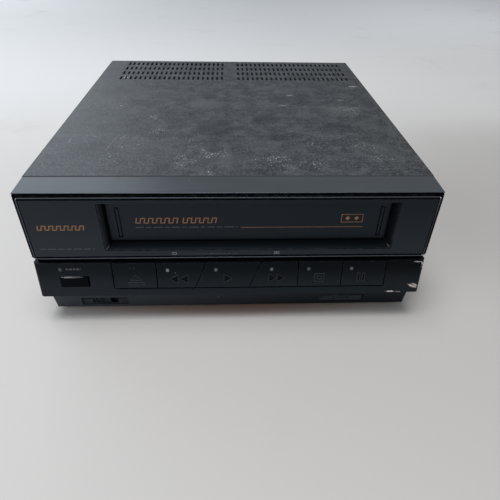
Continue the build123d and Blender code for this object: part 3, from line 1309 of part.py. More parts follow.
def filter_capacitors():
    """Electrolytic capacitors along the edges of the board."""
    capacitors = []
    for side, sizes in ((-1, LEFT_CAPACITORS), (1, RIGHT_CAPACITORS)):
        for from_side, from_rear, radius, height in sizes:
            capacitors.append(post(side * (WIDTH / 2 - from_side), TRAY_REAR - from_rear, radius,
                                   BOARD_TOP, BOARD_TOP + height))
    return capacitors


def rf_modulator():
    """Screened box with two aerial sockets through the rear plate."""
    box = sized_block(MODULATOR_X, MODULATOR_Y, BOARD_TOP, MODULATOR_SIZE)
    for side in (-1, 1):
        x = MODULATOR_X + side * SOCKET_SPREAD / 2
        box += rod_y(x, TRAY_REAR, REAR_FACE, SOCKET_Z, SOCKET_RADIUS + CONNECTOR_COLLAR)
        box += rod_y(x, REAR_FACE, REAR_FACE + PLUG_REACH, SOCKET_Z, SOCKET_RADIUS)
        box -= rod_y(x, REAR_FACE, REAR_FACE + PLUG_REACH, SOCKET_Z, SOCKET_BORE)
    return box


def phono_jacks():
    """Block of two phono jacks, picture and sound, through the rear plate."""
    jacks = sized_block(JACK_X, JACK_Y, BOARD_TOP, JACK_BLOCK)
    for side in (-1, 1):
        x = JACK_X + side * JACK_SPREAD / 2
        jacks += rod_y(x, TRAY_REAR, REAR_FACE, SOCKET_Z, JACK_RADIUS + CONNECTOR_COLLAR)
        jacks += rod_y(x, REAR_FACE, REAR_FACE + JACK_REACH, SOCKET_Z, JACK_RADIUS)
        jacks -= rod_y(x, REAR_FACE, REAR_FACE + JACK_REACH, SOCKET_Z, JACK_BORE)
    return jacks


def cord_gland():
    """Bush in the rear plate where the mains cord would enter."""
    bush = rod_y(GLAND_X, TRAY_REAR - GLAND_REACH, REAR_FACE, GLAND_Z, GLAND_RADIUS)
    bush += rod_y(GLAND_X, REAR_FACE, REAR_FACE + GLAND_FLANGE_SHEET, GLAND_Z, GLAND_FLANGE)
    return bush - rod_y(GLAND_X, TRAY_REAR - GLAND_REACH, REAR_FACE + GLAND_FLANGE_SHEET, GLAND_Z,
                        GLAND_BORE)


# ---- output ------------------------------------------------------------------------------------

BUTTON_NAMES = list(BUTTON_CUTS) + ["pause"]


def all_pieces():
    """Every node with its shape, in face coordinates."""
    makers = (
        top_cover, front_bezel, face_panel, control_panel, base_tray, bottom_plate, rear_panel,
        rubber_feet, case_screws, cassette_door, door_pins, door_spring, power_button,
        indicator_lenses, key_board, key_switches, tracking_wheel, slide_switch, deck_plate,
        lower_drum, upper_drum, drum_shaft, capstan_shaft, capstan_flywheel, capstan_stator,
        drive_pulley, drive_belt, pinch_arm, pinch_roller, idler_arm, idler_wheel, loading_motor,
        motor_pinion, cam_gear, tension_arm, carriage_frame, carriage_slider, cassette_holder,
        carriage_gear, main_board, power_transformer, heatsink, filter_capacitors, rf_modulator,
        phono_jacks, cord_gland,
    )
    pieces = {maker.__name__: maker() for maker in makers}
    pieces["door_plate"] = door_plate_block()
    for name in BUTTON_NAMES:
        pieces[name + "_button"] = transport_button(name)
    pieces["supply_reel_table"] = reel_table(-1)
    pieces["takeup_reel_table"] = reel_table(1)
    pieces["supply_guide"] = tape_guide(-1)
    pieces["takeup_guide"] = tape_guide(1)
    pieces["erase_head"] = fixed_head(ERASE_HEAD_PLACE)
    pieces["audio_head"] = fixed_head(AUDIO_HEAD_PLACE)
    return pieces


def write(name, shape):
    """Moves one piece to the part's own frame and writes it."""
    solids = shape if isinstance(shape, list) else [shape]
    placed = [Pos(0, FACE_Y, SEAM_Z) * solid for solid in solids]
    whole = placed[0] if len(placed) == 1 else Compound(children=placed)
    whole.label = name
    export_step(whole, "parts/" + name + ".step")


os.makedirs("parts", exist_ok=True)
for piece_name, piece_shape in all_pieces().items():
    write(piece_name, piece_shape)
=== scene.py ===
import math

import bmesh
import bpy
from mathutils import Matrix, Vector


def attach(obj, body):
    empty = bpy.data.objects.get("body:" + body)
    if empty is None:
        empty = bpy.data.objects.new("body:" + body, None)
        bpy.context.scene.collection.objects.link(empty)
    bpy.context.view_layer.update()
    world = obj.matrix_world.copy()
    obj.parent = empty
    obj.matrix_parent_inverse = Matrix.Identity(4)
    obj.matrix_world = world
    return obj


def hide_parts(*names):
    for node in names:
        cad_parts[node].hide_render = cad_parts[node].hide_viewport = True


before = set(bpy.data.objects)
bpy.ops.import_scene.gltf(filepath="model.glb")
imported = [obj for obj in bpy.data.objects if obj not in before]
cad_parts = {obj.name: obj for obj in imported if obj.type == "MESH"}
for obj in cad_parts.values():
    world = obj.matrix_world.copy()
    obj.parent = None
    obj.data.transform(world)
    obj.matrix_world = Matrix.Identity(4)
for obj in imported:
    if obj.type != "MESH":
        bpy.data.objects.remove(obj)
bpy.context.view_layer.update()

# A compact front-loading video cassette player. Sizes are in millimetres, in face coordinates:
# X to the right from the middle, Y back from the upper face, Z up from the upper section's foot.

MM = 0.001
FACE_Y = -168.25
SEAM_Z = 60.0
UPWARD = (0.0, 0.0, 1.0)

# casing
HALF_WIDTH = 150.0
FACE_FRONT = 0.3
COVER_TOP = 57.3
PANEL_TOP = -3.5
PANEL_FOOT = -33.4
PANEL_TOP_PROUD = 1.0
PANEL_FOOT_PROUD = 5.0
PANEL_LEAN = (PANEL_FOOT_PROUD - PANEL_TOP_PROUD) / (PANEL_TOP - PANEL_FOOT)
BASE_FOOT = -56.0
REAR_FACE = 331.5

# screws: where their heads sit
COVER_SCREW_Y = (70.0, 270.0)
COVER_SCREW_Z = -8.0
REAR_SCREW_X = 134.0
REAR_SCREW_Z = -20.0
PLATE_SCREW_X = 99.5
PLATE_SCREW_Y = (74.5, 235.5)
SCREW_HEAD_RADIUS = 3.2
SCREW_HEAD_HEIGHT = 1.2
SCREW_RECESS_WIDTH = 0.8
SCREW_RECESS_REACH = 1.7
SCREW_RECESS_DEPTH = 0.8

# rim round the face
BEAD_RADIUS = 0.4
BEAD_CORNER = 1.5
BEAD_Y = 0.15
BEAD_X = 147.6
BEAD_TOP = 52.2
BEAD_FOOT = 0.1
RIM_GROOVES = ((54.2, 55.6), (52.7, 53.4), (50.9, 51.7), (0.6, 1.7))
GROOVE_DEPTH = 1.2
GROOVE_END_GAP = 0.9
STRIP_EDGE = 55.85
FACE_TOP = 50.1

# mouth: each ring of its flare as its depth and its half width, foot and roof
MOUTH_X = 13.0
MOUTH_RINGS = ((-2.7, 110.1, 5.9, 48.0), (0.3, 107.1, 7.5, 47.5), (2.7, 104.7, 8.9, 46.7),
               (7.2, 104.52, 9.98, 46.52))
LIP_OFFSET = 0.2
LIP_LINE = 0.6
LIP_DEPTH = 0.7

# door plate, a thick moulding that covers the whole door; each groove or bar as width, foot, top
PLATE_FRONT = 7.6
PLATE_HALF = 103.9
PLATE_FOOT = 11.2
PLATE_TOP = 45.0
PLATE_BACK = 10.5
BED_HALF = 93.0
BED_FOOT = 12.6
BED_TOP = 43.8
BED_BACK = 11.5
BED_OVERLAP = 0.2
FINGER_GROOVE_X = (-83.1, 110.8)
FINGER_GROOVE = (3.5, 14.2, 40.2)
FINGER_BAR = (1.5, 15.2, 39.2)
FINGER_GROOVE_DEPTH = 1.3

# buttons
BUTTON_PROUD = 0.6
SYMBOL_TOP = -14.4
SYMBOL_FOOT = -21.8
SYMBOL_DEPTH = 0.45
SYMBOL_DRAFT = 0.35
SYMBOL_LINE = 0.15
SYMBOL_CORNER = 0.2
SYMBOL_PROUD = 0.02
POWER_CHAMFER = 1.3
POWER_LEAN = 0.9
NOTCH_LEFT = -91.9
NOTCH_RIGHT = 119.9
NOTCH_FOOT = -26.4
NOTCH_RELIEF = 0.8
NOTCH_FOOT_RELIEF = 1.1
NOTCH_DEPTH = 1.4

# recesses in the chin
RECESS_BACK = 10.2
RECESS_TOP = -44.2
RECESS_FOOT = -53.4
RECESS_Z = (RECESS_TOP + RECESS_FOOT) / 2
RECESS_MIDDLE = -105.6
WHEEL_MIDDLE = 91.4
RECESS_HALF = 18.75
WHEEL_Y = 24.4
WHEEL_CLEAR_RADIUS = 18.5
WHEEL_CLEAR_HALF = 2.4
INSERT_FRONT = 7.2
INSERT_SKIN = 0.55
INSERT_GAP = 0.1
INSERT_BACK_GAP = 0.02
INSERT_BACK_SKIN = 0.25
INSERT_LINE = (-47.6, -45.0)
INSERT_LINE_DEPTH = 0.45
INSERT_LINE_MARGIN = 1.0
SHUTTER_SPACE = 0.95
SHUTTER_END = -101.4
POCKET_END = -88.6
KNOB_HALF = 4.4
KNOB_HALF_HEIGHT = 3.4
KNOB_REST_X = -111.6
KNOB_FRONT = 7.0
KNOB_TRAVEL = 12.0
KNOB_CLEARANCE = 1.6
KNOB_GROOVE_PITCH = 1.9
KNOB_GROOVE_HALF = 0.55
KNOB_GROOVE_DEPTH = 1.6

# connectors
SOCKET_X = (80.0, 104.0)
SOCKET_Z = -30.0
SOCKET_RADIUS = 4.75
THREAD_START = 1.2
THREAD_TURNS = 9
THREAD_PITCH = 0.92
THREAD_RIDGE = 0.32
THREAD_SINK = 0.15

# how wide the rounded edges are
BEZEL_EDGE = 0.45
PANEL_EDGE = 0.4
KEY_EDGE = 0.35
PLATE_EDGE = 0.35
CAP_EDGE = 0.3
WHEEL_EDGE = 0.15
TRAY_EDGE = 0.5
FOOT_EDGE = 1.0
GLAND_EDGE = 0.4

# how deep the colour of a face reaches behind it; further in, the moulding is painted black, as
# painted shade
PANEL_COLOUR_DEPTH = 0.35
PANEL_COLOUR_HALF = 149.4
PANEL_COLOUR_FOOT = -32.8
PLATE_COLOUR_DEPTH = 0.25
INSERT_COLOUR_DEPTH = 0.3
RIM_COLOUR_DEPTH = 0.15
RIM_COLOUR_HALF = 149.3

# camera
CAMERA_PLACE = (-1.388, -269.482, 209.580)
CAMERA_DOWN = 0.644504
CAMERA_TURN = -0.0537158
CAMERA_ROLL = 0.0236757
CAMERA_LENS = 32.221

# how meshes are worked: where shading turns sharp, how far a cutter starts before a face or runs
# through a part, and how near counts as the same place
SMOOTH_ANGLE = math.radians(35)
FLAT_ANGLE = math.radians(20)
ROUND_ANGLE = math.radians(60)
OVERCUT = 1.0
THROUGH = 20.0
NEAR = 0.1 * MM


def spot(x, y, z):
    """A place in face coordinates as a place in the model's own frame, in metres."""
    return Vector((x, y + FACE_Y, z + SEAM_Z)) * MM


def panel_y(z):
    """Y of the leaning control panel's face at height z."""
    return -PANEL_TOP_PROUD + (z - PANEL_TOP) * PANEL_LEAN


def button_y(z):
    """Y of the buttons' faces at height z."""
    return panel_y(z) - BUTTON_PROUD


# ---- pieces and their meshes ------------

def new_object(name, data):
    """An object in the scene for a mesh, a lamp or a camera."""
    piece = bpy.data.objects.new(name, data)
    bpy.context.scene.collection.objects.link(piece)
    return piece


def settle(piece):
    """Turns a piece's modifiers into a plain mesh."""
    depsgraph = bpy.context.evaluated_depsgraph_get()
    depsgraph.update()
    mesh = bpy.data.meshes.new_from_object(piece.evaluated_get(depsgraph))
    piece.modifiers.clear()
    piece.data = mesh
    return piece


def shade(piece, angle=SMOOTH_ANGLE):
    """Smooth shading that keeps large flat faces flat and sharp turns sharp."""
    piece.data.shade_smooth()
    piece.data.set_sharp_from_angle(angle=angle)
    weighted = piece.modifiers.new("flat faces first", "WEIGHTED_NORMAL")
    weighted.keep_sharp = True
    weighted.weight = 80
    return settle(piece)


def finish_piece(piece, body, slot_name, replaced=(), material=None):
    """Gives a piece its material, the body it rides on and the CAD nodes that it stands for."""
    piece.data.materials.clear()
    piece.data.materials.append(material or FINISHES[slot_name])
    if replaced:
        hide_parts(*replaced)
    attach(piece, body)
    return piece


def add_second_material(piece, material, chosen):
    """Gives a second material to the faces that pass a test."""
    piece.data.materials.append(material)
    for face in piece.data.polygons:
        face.material_index = int(chosen(face))
    return piece


def merged_copy(name, node):
    """A copy of a CAD node's mesh with its loose corners merged and its flat faces whole."""
    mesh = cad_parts[node].data.copy()
    loose = bmesh.new()
    loose.from_mesh(mesh)
    bmesh.ops.remove_doubles(loose, verts=loose.verts, dist=2e-6)
    bmesh.ops.dissolve_limit(loose, angle_limit=math.radians(0.6), verts=loose.verts,
                             edges=loose.edges)
    loose.to_mesh(mesh)
    loose.free()
    for layer in list(mesh.uv_layers):
        mesh.uv_layers.remove(layer)
    return new_object(name, mesh)


def soften(piece, width, segments=2):
    """Rounds a piece's edges by a width in millimetres."""
    bevel = piece.modifiers.new("rounded edges", "BEVEL")
    bevel.width = width * MM
    bevel.segments = segments
    bevel.limit_method = "ANGLE"
    bevel.angle_limit = math.radians(40)
    bevel.use_clamp_overlap = True
    bevel.miter_outer = "MITER_ARC"
    return settle(piece)


def round_edges(piece, chosen, width, segments):
    """Rounds only the edges whose ends all pass a test, by a width in millimetres."""
    solid = bmesh.new()
    solid.from_mesh(piece.data)
    edges = [edge for edge in solid.edges if all(chosen(end.co) for end in edge.verts)]
    bmesh.ops.bevel(solid, geom=edges, offset=width * MM, segments=segments, affect="EDGES",
                    profile=0.5, clamp_overlap=True)
    solid.to_mesh(piece.data)
    solid.free()
    return piece


def as_object(solid):
    """Turns a bmesh into an object."""
    mesh = bpy.data.meshes.new("shape")
    solid.to_mesh(mesh)
    solid.free()
    return new_object("shape", mesh)


def through_rings(rings):
    """A closed mesh through rings of places, the first and the last of them filled."""
    solid = bmesh.new()
    loops = [[solid.verts.new(place) for place in ring] for ring in rings]
    solid.faces.new(loops[0])
    solid.faces.new(loops[-1][::-1])
    for near, far in zip(loops, loops[1:]):
        for i in range(len(near)):
            j = (i + 1) % len(near)
            solid.faces.new((near[j], near[i], far[i], far[j]))
    bmesh.ops.recalc_face_normals(solid, faces=solid.faces)
    return as_object(solid)


def prism(outline, front, back, draft=0.0):
    """A closed mesh between a front and a back copy of an (x, z) outline, drawn in by draft.

    Front and back each give the depth at a height.
    """
    middle_x = sum(x for x, z in outline) / len(outline)
    middle_z = sum(z for x, z in outline) / len(outline)
    rings = []
    for depth, pull in ((front, 0.0), (back, draft)):
        ring = []
        for x, z in outline:
            away = Vector((x - middle_x, z - middle_z))
            away *= 1 - pull / max(away.length, pull)
            height = middle_z + away.y
            ring.append(spot(middle_x + away.x, depth(height), height))
        rings.append(ring)
    return through_rings(rings)


def box_outline(x0, x1, z0, z1):
    """The corners of a rectangle as (x, z)."""
    return [(x0, z0), (x1, z0), (x1, z1), (x0, z1)]


def block(x0, x1, foot, top, front, back):
    """A closed box between two depths."""
    return prism(box_outline(x0, x1, foot, top), lambda z: front, lambda z: back)


def mouth_block(half, foot, top, front, back):
    """A closed box centred on the mouth."""
    return block(MOUTH_X - half, MOUTH_X + half, foot, top, front, back)


def combine(piece, others, operation="DIFFERENCE"):
    """Cuts closed meshes out of a piece, or joins them to it, and removes them."""
    for other in others:
        step = piece.modifiers.new("step", "BOOLEAN")
        step.operation = operation
        step.solver = "EXACT"
        step.object = other
    settle(piece)
    for other in others:
        bpy.data.objects.remove(other)
    return piece


# ---- node trees ------------

class Value:
    """An output of a node. Arithmetic on it adds the node that works it out."""

    def __init__(self, nodes, node, output=0):
        self.nodes = nodes
        self.node = node
        self.output = output

    def __getitem__(self, output):
        return Value(self.nodes, self.node, output)

    def __add__(self, other):
        return self.nodes.math("ADD", self, other)

    def __sub__(self, other):
        return self.nodes.math("SUBTRACT", self, other)

    def __rsub__(self, other):
        return self.nodes.math("SUBTRACT", other, self)

    def __mul__(self, other):
        return self.nodes.math("MULTIPLY", self, other)

    def __truediv__(self, other):
        return self.nodes.math("DIVIDE", self, other)

    def __gt__(self, other):
        return self.nodes.math("GREATER_THAN", self, other)

    def __lt__(self, other):
        return self.nodes.math("LESS_THAN", self, other)

    def __abs__(self):
        return self.nodes.math("ABSOLUTE", self)


class Nodes:
    """A node tree and short ways of adding to it."""

    def __init__(self, tree):
        self.tree = tree

    def join(self, value, socket):
        """Joins a value to a socket, or sets the socket if it is a plain one."""
        if isinstance(value, Value):
            self.tree.links.new(value.node.outputs[value.output], socket)
        else:
            socket.default_value = value

    def add(self, kind, inputs=None, **settings):
        """Adds a node, sets its properties and gives its inputs by name or number."""
        node = self.tree.nodes.new(kind)
        for name, value in settings.items():
            setattr(node, name, value)
        for socket, value in (inputs or {}).items():
            self.join(value, node.inputs[socket])
        return Value(self, node)

    def math(self, operation, *numbers):
        """One step of arithmetic on numbers."""
        return self.add("ShaderNodeMath", dict(enumerate(numbers)), operation=operation)

    def vector_math(self, operation, *vectors):
        """One step of arithmetic on vectors."""
        return self.add("ShaderNodeVectorMath", dict(enumerate(vectors)), operation=operation)

    def parts(self, vector):
        """The X, Y and Z of a vector."""
        return self.add("ShaderNodeSeparateXYZ", {0: vector})

    def vector(self, x=0.0, y=0.0, z=0.0):
        """A vector out of three numbers."""
        return self.add("ShaderNodeCombineXYZ", {0: x, 1: y, 2: z})

    def attribute(self, name):
        """A vector that each point carries."""
        return self.add("GeometryNodeInputNamedAttribute", {"Name": name},
                        data_type="FLOAT_VECTOR")

    def circle(self, resolution, radius):
        """A round curve."""
        return self.add("GeometryNodeCurvePrimitiveCircle", {"Resolution": resolution,
                                                             "Radius": radius})

    def on_points(self, points, shape, **more):
        """A copy of a shape on each point."""
        return self.add("GeometryNodeInstanceOnPoints", {0: points, "Instance": shape, **more})

    def place(self):
        """Where a surface is, in the model's own frame."""
        return self.add("ShaderNodeTexCoord")["Object"]

    def facing(self):
        """Which way a surface faces."""
        return self.add("ShaderNodeNewGeometry")["Normal"]

    def noise(self, place, scale, detail=3.0, roughness=0.5, distortion=0.0):
        """A noise pattern between 0 and 1."""
        return self.add("ShaderNodeTexNoise", {
            "Vector": place, "Scale": scale, "Detail": detail, "Roughness": roughness,
            "Distortion": distortion})

    def threshold(self, value, low, high):
        """0 up to low, 1 from high on and smooth in between. High may be the smaller one."""
        return self.add("ShaderNodeMapRange", {
            "Value": value, "From Min": low, "From Max": high}, interpolation_type="SMOOTHSTEP")

    def mix_colour(self, share, first, second):
        """A blend of two colours."""
        return self.add("ShaderNodeMix", {"Factor": share, 6: first, 7: second},
                        data_type="RGBA")[2]

    def mix_value(self, share, first, second):
        """A blend of two numbers."""
        return self.add("ShaderNodeMix", {"Factor": share, 2: first, 3: second},
                        data_type="FLOAT")


SOCKET_KINDS = {int: "NodeSocketInt", float: "NodeSocketFloat", tuple: "NodeSocketVector"}


def add_inputs(tree, inputs):
    """Named inputs for a tree: each has its plain value."""
    for label, value in inputs.items():
        kind = SOCKET_KINDS[type(value)]
        tree.interface.new_socket(label, in_out="INPUT", socket_type=kind).default_value = value


# ---- geometry node trees ------------

def geometry_tree(name, sizes):
    """An empty geometry tree with a geometry input, a material input and one input per size."""
    tree = bpy.data.node_groups.new(name, "GeometryNodeTree")
    tree.interface.new_socket("Geometry", in_out="INPUT", socket_type="NodeSocketGeometry")
    tree.interface.new_socket("Material", in_out="INPUT", socket_type="NodeSocketMaterial")
    add_inputs(tree, sizes)
    tree.interface.new_socket("Geometry", in_out="OUTPUT", socket_type="NodeSocketGeometry")
    nodes = Nodes(tree)
    return nodes, nodes.add("NodeGroupInput")


def end_tree(nodes, given, geometry):
    """Ends a tree in real geometry with its material."""
    real = nodes.add("GeometryNodeRealizeInstances", {0: geometry})
    painted = nodes.add("GeometryNodeSetMaterial", {0: real, "Material": given["Material"]})
    nodes.add("NodeGroupOutput", {0: painted})
    return nodes.tree


def input_name(word):
    """The name of a group's input for the word that stands for it in a call."""
    return word.replace("_", " ").title()


def grow(name, mesh, tree, material, **sizes):
    """Runs a geometry tree on a mesh of points or paths and keeps the result as a plain mesh."""
    piece = new_object(name, mesh)
    modifier = piece.modifiers.new("tree", "NODES")
    modifier.node_group = tree
    wanted = {input_name(word): value for word, value in sizes.items()}
    wanted["Material"] = material
    for item in tree.interface.items_tree:
        if item.in_out == "INPUT" and item.name in wanted:
            modifier[item.identifier] = wanted[item.name]
    return settle(piece)


def point_mesh(places, **attributes):
    """A mesh of single points with vector attributes."""
    mesh = bpy.data.meshes.new("points")
    mesh.from_pydata([tuple(place) for place in places], [], [])
    for label, values in attributes.items():
        layer = mesh.attributes.new(label, "FLOAT_VECTOR", "POINT")
        for i, value in enumerate(values):
            layer.data[i].vector = value
    return mesh


def loop_mesh(loops):
    """A mesh of closed rings of edges, one through each list of places."""
    places = []
    edges = []
    for loop in loops:
        first = len(places)
        places += [tuple(place) for place in loop]
        edges += [(first + i, first + (i + 1) % len(loop)) for i in range(len(loop))]
    mesh = bpy.data.meshes.new("loops")
    mesh.from_pydata(places, edges, [])
    return mesh


def screw_head_tree():
    """Domed heads with a cross recess, one on each point, standing along its axis."""
    nodes, given = geometry_tree("screw_heads", {
        "Head Radius": 0.003, "Head Height": 0.001, "Recess Width": 0.0007, "Recess Reach": 0.0016,
        "Recess Depth": 0.0008})
    disc = nodes.add("GeometryNodeMeshCylinder", {
        "Vertices": 28, "Side Segments": 1, "Fill Segments": 6, "Radius": given["Head Radius"],
        "Depth": given["Head Height"]}, fill_type="TRIANGLE_FAN")
    place = nodes.parts(nodes.add("GeometryNodeInputPosition"))
    out = nodes.vector_math("LENGTH", nodes.vector(place[0], place[1]))["Value"]
    share = out / given["Head Radius"]
    dome = nodes.math("SQRT", 1.0 - nodes.math("MINIMUM", share * share, 1.0))
    height = (dome * 0.5 + 0.5) * given["Head Height"] * (place[2] > 0.0)
    head = nodes.add("GeometryNodeSetPosition", {
        0: disc, "Position": nodes.vector(place[0], place[1], height)})
    cut = nodes.add("GeometryNodeMeshBoolean", {0: head}, operation="DIFFERENCE")
    lift = nodes.vector(z=given["Head Height"])
    depth = given["Recess Depth"] * 2.0
    reach = given["Recess Reach"] * 2.0
    for wide, deep in ((reach, given["Recess Width"]), (given["Recess Width"], reach)):
        arm = nodes.add("GeometryNodeMeshCube", {"Size": nodes.vector(wide, deep, depth)})
        raised = nodes.add("GeometryNodeTransform", {0: arm, "Translation": lift})
        nodes.join(raised, cut.node.inputs[1])
    turn = nodes.add("FunctionNodeAlignRotationToVector", {"Vector": nodes.attribute("axis")},
                     axis="Z")
    return end_tree(nodes, given, nodes.on_points(given["Geometry"], cut, Rotation=turn))


def printed_bar_tree():
    """Thin printed bars, one on each point, with its own size and slant, on a leaning face."""
    nodes, given = geometry_tree("printed_bars", {"Thickness": 0.00006, "Lean": 0.0})
    size = nodes.parts(nodes.attribute("size"))
    bars = nodes.on_points(given["Geometry"], nodes.add("GeometryNodeMeshCube"),
                           Rotation=nodes.vector(given["Lean"], size[1]),
                           Scale=nodes.vector(size[0], given["Thickness"], size[2]))
    return end_tree(nodes, given, bars)


def bead_tree():
    """A round bead swept along a path whose corners are rounded."""
    nodes, given = geometry_tree("bead", {"Bead Radius": 0.0004, "Corner Radius": 0.001})
    path = nodes.add("GeometryNodeMeshToCurve", {0: given["Geometry"]})
    rounded = nodes.add("GeometryNodeFilletCurve", {
        0: path, "Count": 6, "Radius": given["Corner Radius"]}, mode="POLY")
    bead = nodes.add("GeometryNodeCurveToMesh", {
        0: rounded, 1: nodes.circle(12, given["Bead Radius"]), "Fill Caps": True})
    return end_tree(nodes, given, bead)


def thread_tree():
    """Rings one behind another along Y from each point, like the turns of a fine thread."""
    nodes, given = geometry_tree("threads", {"Turns": 8, "Pitch": 0.0009, "Barrel Radius": 0.0047,
                                             "Ridge Radius": 0.0004})
    line = nodes.add("GeometryNodeMeshLine", {
        "Count": given["Turns"], "Offset": nodes.vector(y=given["Pitch"])}, mode="OFFSET")
    turn = nodes.add("GeometryNodeCurveToMesh", {
        0: nodes.circle(32, given["Barrel Radius"]), 1: nodes.circle(6, given["Ridge Radius"])})
    upright = nodes.add("GeometryNodeTransform", {0: turn, "Rotation": (math.pi / 2, 0.0, 0.0)})
    thread = nodes.on_points(line, upright)
    return end_tree(nodes, given, nodes.on_points(given["Geometry"], thread))


# ---- shader groups ------------

def shader_group(name, inputs):
    """An empty shader group with named inputs."""
    group = bpy.data.node_groups.new(name, "ShaderNodeTree")
    add_inputs(group, inputs)
    nodes = Nodes(group)
    return nodes, nodes.add("NodeGroupInput"), nodes.place()


def end_group(nodes, **outputs):
    """Ends a shader group with its named outputs."""
    for label in outputs:
        nodes.tree.interface.new_socket(label, in_out="OUTPUT", socket_type="NodeSocketFloat")
    nodes.add("NodeGroupOutput", outputs)
    return nodes.tree


def grain_group():
    """Fine moulded or sprayed grain: a height, and slow drifts of tone."""
    nodes, given, place = shader_group("grain", {"Grain Scale": 900.0, "Drift Scale": 14.0})
    fine = nodes.noise(place, given["Grain Scale"], detail=2.0, roughness=0.6)
    drift = nodes.noise(place, given["Drift Scale"], detail=4.0, roughness=0.6, distortion=0.4)
    return end_group(nodes, Height=fine, Drift=drift)


def dust_group():
    """Small specks of dust in patches, as many as their density says."""
    nodes, given, place = shader_group("dust", {
        "Speck Scale": 420.0, "Speck Size": 0.25, "Density": 0.05, "Cluster Scale": 22.0})
    cells = nodes.add("ShaderNodeTexVoronoi", {"Vector": place, "Scale": given["Speck Scale"]})
    near = 1.0 - nodes.threshold(cells["Distance"] / given["Speck Size"], 0.4, 1.0)
    chance = nodes.add("ShaderNodeTexWhiteNoise", {"Vector": cells["Position"]},
                       noise_dimensions="3D")["Value"]
    patches = nodes.noise(place, given["Cluster Scale"], detail=5.0, roughness=0.7)
    chosen = chance < nodes.threshold(patches, 0.35, 0.7) * given["Density"]
    return end_group(nodes, Specks=near * chosen)


def scratch_group():
    """Long fine scratches in one direction, broken into stretches."""
    nodes, given, place = shader_group("scratches", {"Turn": 0.4, "Line Scale": 60.0,
                                                     "Fineness": 0.03})
    turned = nodes.add("ShaderNodeMapping", {
        "Vector": place, "Rotation": nodes.vector(z=given["Turn"]), "Scale": (1.0, 0.06, 1.0)})
    bend = nodes.noise(place, 9.0, detail=2.0) * 0.03
    waves = nodes.noise(nodes.vector_math("ADD", turned, bend), given["Line Scale"], detail=0.0)
    line = abs(waves - 0.5) < given["Fineness"] * 0.1
    stretch = nodes.threshold(nodes.noise(place, 25.0), 0.55, 0.62)
    return end_group(nodes, Lines=line * stretch)


def edge_wear_and_highlight_group():
    """Rubbed edges, painted lighter as edge highlights too: where the surface turns sharply, broken
    up by a noise.
    """
    nodes, given, place = shader_group("edge_wear_and_highlight", {"Reach": 0.0004, "Break Scale": 260.0,
                                                     "Amount": 0.5})
    rounded = nodes.add("ShaderNodeBevel", {"Radius": given["Reach"]}, samples=4)
    match = nodes.vector_math("DOT_PRODUCT", rounded, nodes.facing())["Value"]
    edge = nodes.threshold(1.0 - match, 0.01, 0.12)
    broken = nodes.threshold(nodes.noise(place, given["Break Scale"], detail=4.0), 0.4, 0.65)
    return end_group(nodes, Worn=edge * broken * given["Amount"])


def scuff_group():
    """One mark at a place on a surface facing Y or Z: a ragged streak and a soft patch."""
    nodes, given, place = shader_group("scuff", {
        "Middle": (0.0, 0.0, 0.0), "Facing": (0.0, 1.0, 0.0), "Slant": 0.0, "Half Length": 0.004,
        "Half Width": 0.001, "Rag Scale": 700.0})
    away = nodes.vector_math("SUBTRACT", place, given["Middle"])
    tilt = nodes.add("ShaderNodeVectorRotate", {
        "Vector": away, "Axis": given["Facing"], "Angle": given["Slant"]},
        rotation_type="AXIS_ANGLE")
    facing = nodes.parts(given["Facing"])
    side = nodes.vector(y=facing[2], z=facing[1])
    across = nodes.vector_math("DOT_PRODUCT", tilt, side)["Value"] / given["Half Width"]
    along = nodes.parts(tilt)[0] / given["Half Length"]
    reach = along * along + across * across
    rag = nodes.noise(place, given["Rag Scale"], detail=4.0, roughness=0.7)
    mark = 1.0 - nodes.threshold(reach + rag * 1.6, 1.0, 1.35)
    return end_group(nodes, Mark=mark, Soft=1.0 - nodes.threshold(reach, 0.0, 1.0))


def streaks(nodes, place, scale, thinness, detail):
    """A noise drawn out along X."""
    drawn_out = nodes.add("ShaderNodeMapping", {"Vector": place, "Scale": (thinness, 1.0, 1.0)})
    return nodes.noise(drawn_out, scale, detail=detail, roughness=0.7)


def dust_and_sheen_group():
    """Dust and painted sheen on what faces up, drawn out in streaks along X."""
    nodes, given, place = shader_group("dust_and_sheen", {"Streak Scale": 160.0, "Evenness": 0.6})
    level = nodes.threshold(nodes.parts(nodes.facing())[2], 0.55, 0.98)
    rows = streaks(nodes, place, given["Streak Scale"], 0.05, 4.0)
    blend = given["Evenness"] + rows * (1.0 - given["Evenness"])
    return end_group(nodes, Film=level * blend)


def brushed_group():
    """Fine parallel lines left by rolling or turning, and cloudy tone."""
    nodes, given, place = shader_group("brushed", {"Line Scale": 500.0, "Cloud Scale": 30.0})
    lines = streaks(nodes, place, given["Line Scale"], 0.04, 2.0)
    cloud = nodes.noise(place, given["Cloud Scale"], detail=4.0, roughness=0.6)
    return end_group(nodes, Height=lines, Cloud=cloud)


def inside_shade_group():
    """Where a moulding is painted black as painted shade: behind a leaning plane and within a
    height and a width.
    """
    nodes, given, place = shader_group("bare", {"Depth": 0.0, "Lean": 0.0, "Top": 1.0, "Foot": -1.0,
                                                "Half Width": 1.0})
    parts = nodes.parts(place)
    behind = parts[1] > given["Depth"] + parts[2] * given["Lean"]
    high = (parts[2] < given["Top"]) * (parts[2] > given["Foot"])
    inside = abs(parts[0]) < given["Half Width"]
    return end_group(nodes, Bare=behind * high * inside)


GRAIN = grain_group()
INSIDE_SHADE = inside_shade_group()
DUST = dust_group()
SCRATCHES = scratch_group()
EDGE_WEAR_AND_HIGHLIGHT = edge_wear_and_highlight_group()
SCUFF = scuff_group()
DUST_AND_SHEEN = dust_and_sheen_group()
BRUSHED = brushed_group()


# ---- materials ------------

